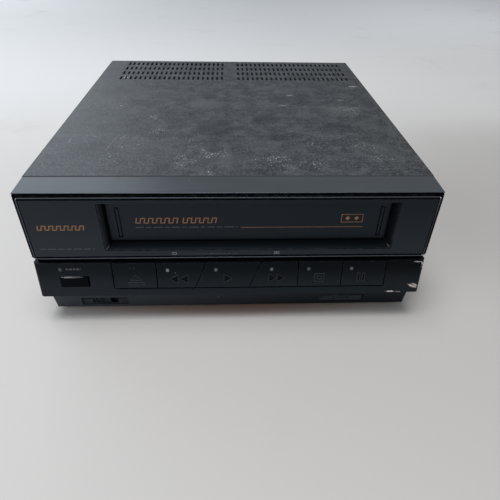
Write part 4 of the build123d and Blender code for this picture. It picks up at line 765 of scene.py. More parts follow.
class Paint(Nodes):
    """A material: layers of colour that end in its Principled shader."""

    def __init__(self, name, roughness, metallic=0.0, specular=0.5):
        self.material = bpy.data.materials.new(name)
        self.material.use_nodes = True
        super().__init__(self.material.node_tree)
        self.base = None
        self.give("Roughness", roughness)
        self.give("Metallic", metallic)
        self.give("Specular IOR Level", specular)

    def give(self, label, value):
        """Sets one of the shader's inputs or joins a value to it."""
        self.join(value, self.tree.nodes["Principled BSDF"].inputs[label])

    def group(self, group, **values):
        """Places a shader group with its own values."""
        placed = self.add("ShaderNodeGroup", node_tree=group)
        for word, value in values.items():
            self.join(value, placed.node.inputs[input_name(word)])
        return placed

    def mark(self, middle, half_length, half_width, **values):
        """A mark at a place in face coordinates."""
        return self.group(SCUFF, middle=spot(*middle), half_length=half_length * MM,
                          half_width=half_width * MM, **values)

    def start(self, share, first, second):
        """Starts the base colour as a blend of two."""
        self.base = self.mix_colour(share, first, second)

    def lay(self, share, colour):
        """Lays a colour over the base."""
        self.base = self.mix_colour(share, self.base, colour)

    def finish(self, rough=None, height=None, depth=0.0):
        """Joins the base colour, and the roughness and the relief if there are any."""
        self.give("Base Color", self.base)
        if rough is not None:
            self.give("Roughness", rough)
        if height is not None:
            self.give("Normal", self.add("ShaderNodeBump", {"Height": height, "Distance": depth}))
        return self.material


def grey(value, warm=0.0):
    """A near grey of a given display level from 0 to 255, a little warmer or cooler."""
    def linear(level):
        share = max(level, 0.0) / 255
        return share / 12.92 if share <= 0.04045 else ((share + 0.055) / 1.055) ** 2.4
    return (linear(value + warm), linear(value), linear(value - warm), 1.0)


def shifted(colour, gain):
    """A colour made lighter or darker by a gain."""
    return tuple(min(channel * gain, 1.0) for channel in colour[:3]) + (1.0,)


def skin(y, lean=0.0, **limits):
    """Values of the inside shade group for a skin that crosses Z = 0 at y and leans by lean."""
    values = {"depth": spot(0, y, 0).y - lean * spot(0, 0, 0).z, "lean": lean}
    for label, limit in limits.items():
        values[label] = limit * MM if label == "half_width" else spot(0, 0, limit).z
    return values


PLASTIC_SHEEN = (0.78, 0.88, 1.0, 1.0)


def moulded_plastic(name, colour, roughness, grain=0.00001, specks=0.008, wear=0.3, specular=0.3,
                    film=None, painted_foot_light=None, painted_left_light=0.0, bare=None, scuffs_and_highlights=()):
    """Moulded plastic: grain, drifts of tone, dust, rubbed edges, painted highlights, sheen, light
    and shade, and scuffs.

    The upward dust and sheen is the strength and colour of the dust and painted sheen on what faces
    up. The painted foot light is (top, foot, colour): painted shade that leaves the top darker and
    the foot lighter. The painted left light is how much lighter the left end is painted, where the
    light comes from. The inside shade paints black, as painted shade, what lies behind the skin.
    """
    paint = Paint(name, roughness, specular=specular)
    paint.give("Specular Tint", PLASTIC_SHEEN)
    grains = paint.group(GRAIN, grain_scale=1100.0, drift_scale=16.0)
    paint.start(grains["Drift"], shifted(colour, 0.75), shifted(colour, 1.25))
    parts = paint.parts(paint.place())
    # painted shade: darker at the top and lighter towards the foot
    if painted_foot_light:
        top, foot, foot_light_colour = painted_foot_light
        paint.lay(paint.threshold(parts[2], spot(0, 0, top).z, spot(0, 0, foot).z), foot_light_colour)
    # painted light: lighter towards the left end, where the light comes from
    if painted_left_light:
        paint.lay(paint.threshold(parts[0], 0.11, -0.15) * painted_left_light, grey(60, -5))
    # dust and painted sheen on what faces up
    if film:
        strength, upward_dust_and_sheen_colour = film
        dust_and_sheen = paint.group(DUST_AND_SHEEN, streak_scale=160.0, evenness=0.55)
        paint.lay(dust_and_sheen["Film"] * strength, upward_dust_and_sheen_colour)
    # painted shade: black behind the coloured skin, in grooves, gaps and recesses
    if bare:
        paint.lay(paint.group(INSIDE_SHADE, **bare)["Bare"], grey(11, -4))
    # rubbed edges, painted lighter as edge highlights too
    worn_and_highlit = paint.group(EDGE_WEAR_AND_HIGHLIGHT, reach=0.0004, break_scale=300.0, amount=wear)
    paint.lay(worn_and_highlit["Worn"], grey(120, 1))
    dust = paint.group(DUST, speck_scale=500.0, speck_size=0.3, density=specks, cluster_scale=30.0)
    paint.lay(dust["Specks"] * 0.5, grey(150, 3))
    # scuffs, and painted highlights and shade at given places
    for middle, slant, half_length, half_width, tone in scuffs_and_highlights:
        paint.lay(paint.mark(middle, half_length, half_width, slant=slant)["Mark"], tone)
    rough = paint.mix_value(grains["Drift"], roughness - 0.06, roughness + 0.08)
    return paint.finish(rough, grains["Height"], grain)


# speck clusters on the cover: x, y and half sizes
COVER_CLUSTERS = (
    (111, 73, 10, 7), (70, 81, 9, 6), (51, 95, 3, 9), (22, 95, 5, 6), (-15, 61, 12, 10),
    (-36, 46, 9, 9), (-18, 26, 4, 6), (-94, 51, 7, 10), (-84, 81, 9, 14), (-64, 103, 7, 9),
    (-72, 136, 5, 6), (-118, 170, 14, 9), (-33, 76, 4, 11), (32, 50, 13, 6), (36, 33, 13, 5),
    (114, 160, 11, 10), (119, 51, 8, 5), (63, 40, 9, 7),
)
# lighter and darker patches: x, y, half sizes and strength
COVER_PATCHES = (
    (-24, 175, 24, 16, 0.5), (-13, 113, 22, 26, -0.5), (32, 133, 18, 18, -0.45),
    (34, 91, 24, 10, -0.4), (71, 189, 32, 22, -0.3), (95, 116, 17, 16, -0.4),
    (20, 85, 18, 12, 0.35), (107, 160, 28, 20, 0.35), (-8, 49, 32, 14, 0.3),
    (-66, 70, 50, 26, 0.2), (-108, 67, 30, 30, -0.2), (-73, 202, 40, 20, 0.2),
    (14, 56, 22, 8, -0.3), (117, 67, 22, 20, 0.2),
)
# pale marks: x, y, slant, half sizes and strength
COVER_MARKS = (
    (136, 235, 0.0, 8, 3.0, 0.3), (62, 203, 0.15, 6, 2.8, 0.26), (52, 172, 0.2, 6, 2.4, 0.2),
    (113, 189, 0.1, 8, 3.0, 0.13), (-97, 89, -1.35, 10, 1.0, 0.09),
    (-99, 73, -1.49, 12, 1.0, 0.08), (-115, 94, 0.78, 7, 0.9, 0.1),
    (-133, 83, 1.43, 11, 0.9, 0.1), (-119.2, 263, 0.0, 3.4, 6, 1.0),
)
# two sizes of speck on the cover: scale, size, density and strength
COVER_SPECKS = ((1100.0, 0.55, 0.6, 0.38), (700.0, 0.42, 0.35, 0.9))


def cover_mark(paint, x, y, half_length, half_width, **values):
    """A mark on the cover's top."""
    return paint.mark((x, y, COVER_TOP), half_length, half_width, facing=UPWARD, **values)


def cover_paint():
    """Dark satin paint on sheet steel: clouds, smudges, specks in clusters, marks, scratches, and
    painted light and shade on its edges and its right side.
    """
    paint = Paint("cover_paint", 0.5)
    paint.give("Specular Tint", PLASTIC_SHEEN)
    grains = paint.group(GRAIN, grain_scale=620.0, drift_scale=16.0)
    smudges = paint.group(GRAIN, grain_scale=1500.0, drift_scale=75.0)
    fine = paint.group(BRUSHED, line_scale=420.0, cloud_scale=34.0)
    normal = paint.parts(paint.facing())
    across = paint.parts(paint.place())[0]

    # painted shade: darker and warmer to the right, away from the light at the left
    paint.start(paint.threshold(across, 0.06, 0.15), grey(45, -3), grey(31, 3))
    paint.lay(grains["Drift"] * 0.5, grey(62, -3))
    paint.lay(paint.threshold(fine["Cloud"], 0.38, 0.62) * 0.5, grey(28, -2))
    mottle = paint.threshold(smudges["Drift"], 0.42, 0.64)
    paint.lay(mottle * 0.4, grey(88, -1))
    paint.lay(paint.threshold(grains["Height"], 0.44, 0.66) * 0.5, grey(96, -1))
    paint.lay(paint.threshold(fine["Height"], 0.46, 0.6) * 0.2, grey(24, -2))
    for x, y, half_length, half_width, strength in COVER_PATCHES:
        patch = cover_mark(paint, x, y, half_length, half_width)
        paint.lay(patch["Soft"] * abs(strength), grey(84) if strength > 0 else grey(20, -2))

    crowd = 0.0
    for x, y, half_length, half_width in COVER_CLUSTERS:
        crowd = cover_mark(paint, x, y, 1.5 * half_length, 1.5 * half_width)["Soft"] + crowd
    crowd = crowd * paint.threshold(smudges["Drift"], 0.34, 0.56) + 0.1
    for scale, size, density, strength in COVER_SPECKS:
        dust = paint.group(DUST, speck_scale=scale, speck_size=size, density=density,
                           cluster_scale=60.0)
        paint.lay(dust["Specks"] * crowd * strength, grey(200, 2))
    for x, y, slant, half_length, half_width, strength in COVER_MARKS:
        mark = cover_mark(paint, x, y, half_length, half_width, slant=slant, rag_scale=500.0)
        paint.lay(mark["Mark"] * strength, grey(200, 2))
    scratches = paint.group(SCRATCHES, turn=0.25, line_scale=40.0, fineness=0.03)
    paint.lay(scratches["Lines"] * 0.12, grey(150))
    # rubbed edges, painted lighter as edge highlights too
    worn_and_highlit = paint.group(EDGE_WEAR_AND_HIGHLIGHT, reach=0.0005, break_scale=200.0, amount=0.12)
    paint.lay(worn_and_highlit["Worn"], grey(125))

    # painted light: the front-facing edges are painted paler; a cut edge is paler too
    paint.lay(paint.threshold(normal[1] * -1.0, 0.5, 0.9), grey(120, -2))
    # painted shade: the rounded side edges of the top are painted near black and made rough
    outer = paint.threshold(abs(across), 0.1483, 0.1492)
    rim = outer * paint.threshold(normal[2], 0.05, 0.2)
    paint.lay(rim, grey(4))
    rough = paint.mix_value(grains["Drift"], 0.42, 0.54)
    rough = paint.mix_value(mottle, rough, 0.56)
    return paint.finish(paint.mix_value(rim, rough, 0.95), grains["Height"], 0.00002)


def metal(name, colour, roughness, line_scale=500.0, depth=0.000004):
    """Bare metal with fine working lines and cloudy tone."""
    paint = Paint(name, roughness, metallic=1.0)
    worked = paint.group(BRUSHED, line_scale=line_scale, cloud_scale=28.0)
    paint.start(worked["Cloud"], shifted(colour, 0.8), shifted(colour, 1.15))
    rough = paint.mix_value(worked["Height"], roughness * 0.75, roughness * 1.3)
    return paint.finish(rough, worked["Height"], depth)


def circuit_board():
    """Board with a lacquer over copper tracks, and tinned spots."""
    paint = Paint("board", 0.35)
    tracks = paint.add("ShaderNodeTexBrick", {
        "Vector": paint.place(), "Scale": 90.0, "Mortar Size": 0.03, "Brick Width": 0.9,
        "Row Height": 0.35})["Fac"]
    spots = paint.add("ShaderNodeTexVoronoi", {"Vector": paint.place(), "Scale": 260.0,
                                               "Randomness": 0.4})
    paint.start(tracks, (0.10, 0.055, 0.02, 1), (0.19, 0.12, 0.05, 1))
    paint.lay(spots["Distance"] < 0.22, grey(150))
    return paint.finish(height=tracks, depth=0.00003)


def printed_ink(name, colour, roughness, metallic=0.0):
    """Printed ink, worn through in small spots."""
    paint = Paint(name, roughness, metallic=metallic)
    grains = paint.group(GRAIN, grain_scale=1500.0, drift_scale=120.0)
    paint.start(paint.threshold(grains["Drift"], 0.3, 0.5), shifted(colour, 0.6), colour)
    return paint.finish(height=grains["Height"], depth=0.000004)


def capacitor_sleeve():
    """Shrunk sleeve with a pale stripe down one side."""
    paint = Paint("capacitor_sleeve", 0.35)
    across = paint.add("ShaderNodeTexWave", {"Vector": paint.place(), "Scale": 9.0},
                       bands_direction="X")["Fac"]
    paint.start(across > 0.93, (0.012, 0.03, 0.09, 1), grey(175))
    return paint.finish()


# unlit lamps behind their lenses: x, z and how pale
LENS_SPOTS = ((-131.0, -9.2, 70), (-50.0, -10.2, 132), (-13.0, -10.2, 96), (30.2, -10.2, 100),
              (59.1, -10.2, 84), (92.7, -10.2, 94))


def lens_plastic():
    """Smoked lenses with a paler middle over each unlit lamp."""
    paint = Paint("lens_plastic", 0.3, specular=0.3)
    grains = paint.group(GRAIN, grain_scale=1500.0, drift_scale=300.0)
    paint.start(grains["Drift"], grey(12, -4), grey(22, -4))
    for x, z, tone in LENS_SPOTS:
        lamp = paint.mark((x, 0, z), 1.8, 2.1)
        paint.lay(paint.threshold(lamp["Soft"], 0.3, 0.75), grey(tone, -3))
    return paint.finish(height=grains["Height"], depth=0.000004)


# scuffs, painted highlights and painted shade: middle, slant, half length, half width and colour
PALE_SCUFF = grey(200, 6)
# painted highlights along the mitres at the mouth's lower corners
MOUTH_MITRE_HIGHLIGHTS = (
    ((-92.7, 0.0, 8.9), 0.78, 2.1, 0.6, grey(150, 2)),
    ((118.8, 0.0, 8.9), -0.78, 2.0, 0.5, grey(110, 2)),
)
PANEL_SCUFFS = (
    ((144.2, 0.0, -27.6), -0.44, 6.6, 1.5, PALE_SCUFF),
    ((146.4, 0.0, -26.6), -0.5, 4.4, 1.2, grey(190, 9)),
    ((144.6, 0.0, -5.1), -0.05, 5.0, 0.8, grey(170, 2)),
    ((148.2, 0.0, -6.6), -1.1, 2.6, 0.9, PALE_SCUFF),
    ((148.2, 0.0, -9.7), 0.3, 1.2, 0.8, grey(120)),
    ((127.0, 0.0, -32.6), -0.02, 5.6, 1.0, PALE_SCUFF),
    ((133.6, 0.0, -33.0), -0.1, 3.6, 0.8, grey(130)),
)
BUTTON_SCUFFS = (
    ((-78.4, 0.0, -8.0), 0.0, 1.3, 1.3, grey(40, -3)),
    ((-75.4, 0.0, -8.0), 0.0, 1.3, 1.3, grey(40, -3)),
)
# painted highlight along the power button's upper edge
POWER_EDGE_HIGHLIGHTS = (
    ((-123.6, 0.0, -15.9), 0.0, 13.0, 1.0, grey(92)),
    ((-126.4, 0.0, -15.9), 0.0, 6.0, 0.8, grey(128)),
)
# painted shade down the bead's right side and painted highlights at its corners
BEAD_HIGHLIGHTS_AND_SHADE = (
    ((147.6, 0.0, 24.0), math.pi / 2, 27.0, 1.6, grey(34, -4)),
    ((147.5, 0.0, 51.9), 0.0, 1.5, 1.1, grey(220)),
    ((147.3, 0.0, 0.4), 0.0, 1.4, 1.0, grey(200)),
    ((-147.3, 0.0, 51.9), 0.0, 1.2, 1.0, grey(150)),
)
# painted shade: the panel and its buttons are painted darker at the top, under the overhang, and
# lighter towards the foot: top, foot and colour
PANEL_FOOT_LIGHT = (PANEL_TOP - 3.0, PANEL_FOOT + 5.0, grey(38, -4))


def plain_name(material):
    """A material's name without the number that keeps it apart from its namesakes."""
    return material.name.split(".")[0]


FINISHES = {plain_name(material): material for material in (
    cover_paint(),
    # face: painted shade leaves its top darker and its foot lighter; painted light at its left end
    moulded_plastic("face_plastic", grey(21, -6), 0.4, grain=0.000006, wear=0.35, specular=0.25,
                    painted_foot_light=(46.0, 2.0, grey(37, -5)), painted_left_light=0.22, scuffs_and_highlights=MOUTH_MITRE_HIGHLIGHTS),
    moulded_plastic("panel_plastic", grey(8, -3), 0.38, wear=0.25, specular=0.08,
                    painted_foot_light=PANEL_FOOT_LIGHT, painted_left_light=0.18, scuffs_and_highlights=PANEL_SCUFFS,
                    bare=skin(panel_y(0) + PANEL_COLOUR_DEPTH, PANEL_LEAN,
                              half_width=PANEL_COLOUR_HALF, foot=PANEL_COLOUR_FOOT)),
    # chin: painted lighter towards its left end, where the light comes from
    moulded_plastic("tray_plastic", grey(19, -6), 0.45, grain=0.00002, wear=0.25, specular=0.2,
                    painted_left_light=1.0),
    moulded_plastic("button_plastic", grey(9, -4), 0.36, wear=0.3, specular=0.1, painted_foot_light=PANEL_FOOT_LIGHT,
                    painted_left_light=0.1, bare=skin(button_y(0) + PANEL_COLOUR_DEPTH, PANEL_LEAN),
                    scuffs_and_highlights=BUTTON_SCUFFS),
    moulded_plastic("door_plate", grey(21, -6), 0.3, grain=0.000003, wear=0.2, specular=0.25,
                    painted_left_light=0.12, bare=skin(PLATE_FRONT + PLATE_COLOUR_DEPTH)),
    lens_plastic(),
    moulded_plastic("rubber", grey(20), 0.75, grain=0.00003, specks=0.15, wear=0.2),
    metal("zinc_steel", grey(165, 3), 0.35),
    metal("dark_screw", grey(70), 0.4),
    metal("polished_steel", grey(190), 0.18),
    metal("drum_alloy", grey(200), 0.16, line_scale=900.0),
    metal("heatsink_alloy", grey(150), 0.4),
    circuit_board(),
    moulded_plastic("white_plastic", grey(215, 4), 0.4, wear=0.05),
    moulded_plastic("black_acetal", grey(22), 0.32, grain=0.000004),
    capacitor_sleeve(),
    metal("transformer_iron", grey(105, 6), 0.5, line_scale=900.0, depth=0.00003),
)}
# the top strip: dust and painted sheen on what faces up
STRIP_PLASTIC = moulded_plastic("strip_plastic", grey(12, -4), 0.32, grain=0.000006, wear=0.35,
                                specular=0.45, film=(0.9, grey(79, -4)))
# rim: painted shade, black in its grooves behind its coloured skin
RIM_PLASTIC = moulded_plastic("rim_plastic", grey(19, -4), 0.92, grain=0.000006, wear=0.2,
                              specular=0.0,
                              bare=skin(RIM_COLOUR_DEPTH, top=STRIP_EDGE,
                                        half_width=RIM_COLOUR_HALF))
# painted highlight: the bead, of the face's own moulding, is painted lighter where it catches the
# light
BEAD_HIGHLIGHT_PLASTIC = moulded_plastic("bead_plastic", grey(78, -6), 0.3, wear=0.25, specular=0.5,
                               scuffs_and_highlights=BEAD_HIGHLIGHTS_AND_SHADE)
# painted shade: the flare and the steps behind the face are painted near black
INSIDE_SHADE_PLASTIC = moulded_plastic("bare_plastic", grey(14, -4), 0.5, wear=0.3, specular=0.1,
                               scuffs_and_highlights=MOUTH_MITRE_HIGHLIGHTS)
DOOR_PLASTIC = moulded_plastic("door_plastic", grey(18, -5), 0.35, grain=0.000004, wear=0.2,
                               specular=0.25)
POWER_PLASTIC = moulded_plastic("power_plastic", grey(5, -3), 0.25, grain=0.000003, wear=0.3,
                                specular=0.05, scuffs_and_highlights=POWER_EDGE_HIGHLIGHTS)
KNOB_PLASTIC = moulded_plastic("knob_plastic", grey(38, -5), 0.4, wear=0.35, specular=0.3)
# painted light: the inserts are painted lighter, to stand in for light in the recesses
LIT_INSERT_PLASTIC = moulded_plastic("insert_plastic", grey(44, -5), 0.5, wear=0.1, specular=0.3,
                                 bare=skin(INSERT_FRONT + INSERT_COLOUR_DEPTH))
BRONZE_INK = printed_ink("bronze_ink", (0.34, 0.165, 0.085, 1.0), 0.38, metallic=0.35)
PALE_INK = printed_ink("pale_ink", grey(130, -3), 0.45)
DIM_INK = printed_ink("dim_ink", grey(66, -3), 0.5)
DARK_INK = printed_ink("dark_ink", grey(8), 0.5)
# painted highlight: the raised lines round the symbols, of the buttons' own moulding, are painted
# lighter
SYMBOL_HIGHLIGHT = printed_ink("symbol_ink", grey(54, -4), 0.4)

for name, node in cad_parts.items():
    for holder in node.material_slots:
        finish = FINISHES[plain_name(holder.material)]
        holder.material = DOOR_PLASTIC if name == "cassette_door" else finish


# ---- casing ------------

def moulding(name, node, edge, body, slot_name, material=None, segments=2, cutters=(), added=()):
    """A copy of a CAD node that stands for it, with rounded edges, then cut and added to."""
    piece = soften(merged_copy(name, node), edge, segments)
    if cutters:
        combine(piece, cutters)
    if added:
        combine(piece, added, "UNION")
    return finish_piece(shade(piece), body, slot_name, [node], material)


def front_bezel():
    """Upper moulding with the grooves of its rim."""
    cutters = []
    for low, high in RIM_GROOVES:
        half = BEAD_X - GROOVE_END_GAP if high < BEAD_TOP else HALF_WIDTH
        cutters.append(block(-half, half, low, high, -OVERCUT, GROOVE_DEPTH))
    piece = moulding("bezel_moulding", "front_bezel", BEZEL_EDGE, "case", "face_plastic",
                     STRIP_PLASTIC, 3, cutters)
    strip_foot = spot(0, 0, STRIP_EDGE).z
    return add_second_material(piece, RIM_PLASTIC, lambda face: face.center.z < strip_foot)


def control_moulding():
    """Leaning panel whose notch for the buttons is relieved along its sides and its foot."""
    notch = box_outline(NOTCH_LEFT - NOTCH_RELIEF, NOTCH_RIGHT + NOTCH_RELIEF,
                        NOTCH_FOOT - NOTCH_FOOT_RELIEF, PANEL_TOP + OVERCUT)
    relief = prism(notch, lambda z: panel_y(z) - 2 * OVERCUT, lambda z: panel_y(z) + NOTCH_DEPTH)
    return moulding("control_moulding", "control_panel", PANEL_EDGE, "case", "panel_plastic",
                    cutters=[relief])


def face_sheet():
    """Face with a step under the rim, a deep flare round the mouth and a fine line round that."""
    piece = merged_copy("face_sheet", "face_panel")
    flare = [[spot(x, depth, z) for x, z in box_outline(MOUTH_X - half, MOUTH_X + half, foot, roof)]
             for depth, half, foot, roof in MOUTH_RINGS]
    step = block(-HALF_WIDTH, HALF_WIDTH, FACE_TOP, RIM_GROOVES[2][1], -OVERCUT, GROOVE_DEPTH)
    cutters = [through_rings(flare), step]
    edge_half, edge_foot, edge_roof = MOUTH_RINGS[1][1:]
    half = edge_half + LIP_OFFSET
    foot = edge_foot - LIP_OFFSET
    roof = edge_roof + LIP_OFFSET
    for x0, x1, low, high in ((-half - LIP_LINE, half + LIP_LINE, foot - LIP_LINE, foot),
                              (-half - LIP_LINE, -half, foot, roof),
                              (half, half + LIP_LINE, foot, roof)):
        cutters.append(block(MOUTH_X + x0, MOUTH_X + x1, low, high, FACE_FRONT - OVERCUT,
                             FACE_FRONT + LIP_DEPTH))
    combine(piece, cutters)
    finish_piece(shade(piece, FLAT_ANGLE), "case", "face_plastic", ["face_panel"])
    skin_depth = spot(0, FACE_FRONT, 0).y + NEAR
    flare_depth = spot(0, MOUTH_RINGS[2][0], 0).y

    def is_inside_shade(face):
        """Whether a face is painted black as painted shade. The flare's left side, where the light
        falls, keeps the face's own colour.
        """
        left_flare = face.normal.x > 0.5 and abs(face.normal.y) > 0.3
        return face.center.y > (flare_depth if left_flare else skin_depth)

    return add_second_material(piece, INSIDE_SHADE_PLASTIC, is_inside_shade)


def upright_strip(x, size, front, back):
    """A closed box round a middle, from its width, foot and top."""
    width, foot, top = size
    return block(x - width / 2, x + width / 2, foot, top, front, back)


def door_face():
    """Thick plate that covers the door, with an upright bar in a groove near each end."""
    piece = soften(mouth_block(PLATE_HALF, PLATE_FOOT, PLATE_TOP, PLATE_FRONT, PLATE_BACK),
                   PLATE_EDGE)
    piece.name = "door_face"
    cutters = []
    for x in FINGER_GROOVE_X:
        groove = upright_strip(x, FINGER_GROOVE, PLATE_FRONT - OVERCUT,
                               PLATE_FRONT + FINGER_GROOVE_DEPTH)
        bar = upright_strip(x, FINGER_BAR, PLATE_FRONT - 2 * OVERCUT, PLATE_FRONT + 2 * OVERCUT)
        cutters.append(combine(groove, [bar]))
    combine(piece, cutters)
    bed = mouth_block(BED_HALF, BED_FOOT, BED_TOP, PLATE_BACK - BED_OVERLAP, BED_BACK)
    combine(piece, [bed], "UNION")
    return finish_piece(shade(piece), "door", "door_plate", ["door_plate"])


def rim_bead(tree):
    """Fine bead that runs round the face, painted lighter as a highlight."""
    corners = [spot(-BEAD_X, BEAD_Y, BEAD_FOOT), spot(-BEAD_X, BEAD_Y, BEAD_TOP),
               spot(BEAD_X, BEAD_Y, BEAD_TOP), spot(BEAD_X, BEAD_Y, BEAD_FOOT)]
    piece = grow("rim_bead", loop_mesh([corners]), tree, BEAD_HIGHLIGHT_PLASTIC,
                 bead_radius=BEAD_RADIUS * MM, corner_radius=BEAD_CORNER * MM)
    return finish_piece(shade(piece, ROUND_ANGLE), "case", "face_plastic", material=BEAD_HIGHLIGHT_PLASTIC)


def screws(tree):
    """Every screw head of the case."""
    seats = []
    for side in (-1, 1):
        for y in COVER_SCREW_Y:
            seats.append((spot(side * HALF_WIDTH, y, COVER_SCREW_Z), (side, 0, 0)))
        seats.append((spot(side * REAR_SCREW_X, REAR_FACE, REAR_SCREW_Z), (0, 1, 0)))
        for y in PLATE_SCREW_Y:
            seats.append((spot(side * PLATE_SCREW_X, y, BASE_FOOT), (0, 0, -1)))
    points = point_mesh([place for place, axis in seats], axis=[axis for place, axis in seats])
    piece = grow("screw_heads", points, tree, FINISHES["dark_screw"],
                 head_radius=SCREW_HEAD_RADIUS * MM, head_height=SCREW_HEAD_HEIGHT * MM,
                 recess_width=SCREW_RECESS_WIDTH * MM, recess_reach=SCREW_RECESS_REACH * MM,
                 recess_depth=SCREW_RECESS_DEPTH * MM)
    return finish_piece(shade(piece), "case", "dark_screw", ["case_screws"])


# ---- buttons ------------

def symbol_y(z):
    """Y of the lines round the symbols at height z."""
    return button_y(z) - SYMBOL_PROUD


def engraving(outline):
    """A cutter that sinks an outline into the leaning button faces."""
    return prism(outline, symbol_y, lambda z: button_y(z) + SYMBOL_DEPTH, SYMBOL_DRAFT)


def arrow(tip, base):
    """A triangle pointing along X from its base to its tip."""
    middle = (SYMBOL_TOP + SYMBOL_FOOT) / 2
    return [(base, SYMBOL_TOP), (base, SYMBOL_FOOT), (tip, middle)]


def upright(x0, x1):
    """A bar as high as the symbols."""
    return box_outline(x0, x1, SYMBOL_FOOT, SYMBOL_TOP)


SYMBOLS = {
    "eject": [[(-79.2, -19.0), (-70.3, -19.0), (-74.7, -14.2)],
              box_outline(-80.6, -68.8, -23.2, -20.9)],
    "rewind": [arrow(-48.8, -42.3), arrow(-41.7, -34.5)],
    "play": [arrow(-0.5, -6.8)],
    "fast_forward": [arrow(34.6, 28.1), arrow(41.1, 34.7)],
    "stop": [upright(64.3, 71.5), box_outline(66.3, 69.5, -19.6, -16.6)],
    "pause": [upright(98.2, 100.0), upright(102.2, 104.0)],
}
SUNK_SYMBOLS = ("play", "fast_forward", "rewind", "pause")


def transport_buttons(tree):
    """The six buttons: symbols sunk into four of them, and a fine raised line round every symbol,
    painted lighter as a highlight.
    """
    for name, outlines in SYMBOLS.items():
        node = name + "_button"
        sunk = [engraving(outline) for outline in outlines if name in SUNK_SYMBOLS]
        moulding(name + "_key", node, KEY_EDGE, node, "button_plastic", cutters=sunk)
        loops = [[spot(x, symbol_y(z), z) for x, z in outline] for outline in outlines]
        line = grow(name + "_symbol", loop_mesh(loops), tree, SYMBOL_HIGHLIGHT,
                    bead_radius=SYMBOL_LINE * MM, corner_radius=SYMBOL_CORNER * MM)
        finish_piece(shade(line, ROUND_ANGLE), node, "button_plastic", material=SYMBOL_HIGHLIGHT)


def power_cap():
    """Power button whose face leans in under a broad slope along its upper edge."""
    piece = merged_copy("power_cap", "power_button")
    corners = [corner.co for corner in piece.data.vertices]
    top = max(corner.z for corner in corners)
    foot = min(corner.z for corner in corners)
    front = min(corner.y for corner in corners if corner.z > top - NEAR)
    for corner in corners:
        if corner.z < foot + NEAR and corner.y < front:
            corner.y += POWER_LEAN * MM
    round_edges(piece, lambda end: end.z > top - NEAR and end.y < front + NEAR, POWER_CHAMFER, 2)
    return finish_piece(shade(soften(piece, CAP_EDGE)), "power_button", "button_plastic",
                        ["power_button"], POWER_PLASTIC)


def slide_knob():
    """Slide switch knob with four finger grooves, and the shutter that it draws behind its slot."""
    grooves = []
    for i in range(4):
        x = KNOB_REST_X + (i - 1.5) * KNOB_GROOVE_PITCH
        grooves.append(block(x - KNOB_GROOVE_HALF, x + KNOB_GROOVE_HALF, RECESS_FOOT, RECESS_TOP,
                             KNOB_FRONT - OVERCUT, KNOB_FRONT + KNOB_GROOVE_DEPTH))
    half_height = KNOB_HALF_HEIGHT - INSERT_GAP
    front = INSERT_FRONT + INSERT_SKIN + INSERT_GAP
    shutter = block(KNOB_REST_X, SHUTTER_END, RECESS_Z - half_height, RECESS_Z + half_height,
                    front, front + SHUTTER_SPACE - 2 * INSERT_GAP)
    return moulding("slide_knob", "slide_switch", KEY_EDGE, "slide_switch", "button_plastic",
                    KNOB_PLASTIC, cutters=grooves, added=[shutter])


# ---- printed marks ------------

PRINT_THICKNESS = 0.06

# running patterns: start, end, foot, top, pitch, line
DOOR_PATTERNS = ((-70.3, -40.2, 26.2, 31.1, 3.0, 0.75), (-36.0, -11.3, 26.2, 31.1, 3.0, 0.75))
FACE_PATTERN = (-139.0, -104.5, 25.4, 29.6, 2.7, 0.8)
PATTERN_SLANT = 0.22

# rows of dashes: start, end, z, height, lengths in turn, gap
DOOR_DASHES = (-71.5, 3.8, 22.8, 0.9, (6.0, 4.2, 7.4, 3.1), 1.4)
FACE_DASHES = (-141.5, -101.7, 8.8, 0.9, (3.6, 6.0, 4.6), 1.6)
MOUTH_DASHES = (-17.1, 4.1, 3.5, 0.7, (3.0, 4.4, 2.2), 1.1)
POWER_DASHES = (-126.8, -115.5, -8.9, 1.6, (1.7, 2.4), 0.7)

# single bars: x, z, width, height, slant
DOOR_LINE = (52.4, 22.3, 92.5, 0.36, 0.0)
LOZENGES = ((85.7, 29.9, 2.6, 2.6, math.pi / 4), (92.4, 29.9, 2.6, 2.6, math.pi / 4))
MOUTH_LINES = ((-28.4, 3.5, 20.0, 0.3, 0.0), (23.8, 3.6, 12.2, 0.3, 0.0))
TICKS = tuple((-93.6 + i * 1.8, RECESS_Z, 0.8, 3.6, 0.0) for i in range(3))
TICKS_PROUD = 0.05

# frames: left, right, foot, top, line
DOOR_FRAME = (80.9, 97.2, 26.3, 33.4, 0.42)
FACE_FRAMES = ((-45.3, -42.1, 2.9, 5.1, 0.5), (31.5, 33.5, 2.9, 4.9, 0.5),
               (33.5, 35.5, 2.9, 4.9, 0.5))


def printed_row(name, tree, bars, y, body, ink, lean=0.0):
    """Printed bars on a face at y: each is its x, z, width, height and slant."""
    points = point_mesh([spot(x, y, z) for x, z, width, height, slant in bars],
                        size=[(width * MM, slant, height * MM)
                              for x, z, width, height, slant in bars])
    piece = grow(name, points, tree, ink, thickness=PRINT_THICKNESS * MM, lean=lean)
    slot_name = "face_plastic" if body == "case" else "door_plate"
    return finish_piece(piece, body, slot_name, material=ink)


def dashes(start, end, z, height, lengths, gap):
    """Dashes of the given lengths in turn, from start to end."""
    row = []
    x = start
    while x < end:
        length = min(lengths[len(row) % len(lengths)], end - x)
        row.append((x + length / 2, z, length, height, 0.0))
        x += length + gap
    return row


def outlined(x0, x1, z0, z1, line):
    """Four bars inside the edges of a rectangle."""
    bars = []
    for left, right, foot, top in ((x0, x1, z0, z0 + line), (x0, x1, z1 - line, z1),
                                   (x0, x0 + line, z0 + line, z1 - line),
                                   (x1 - line, x1, z0 + line, z1 - line)):
        bars.append(((left + right) / 2, (foot + top) / 2, right - left, top - foot, 0.0))
    return bars


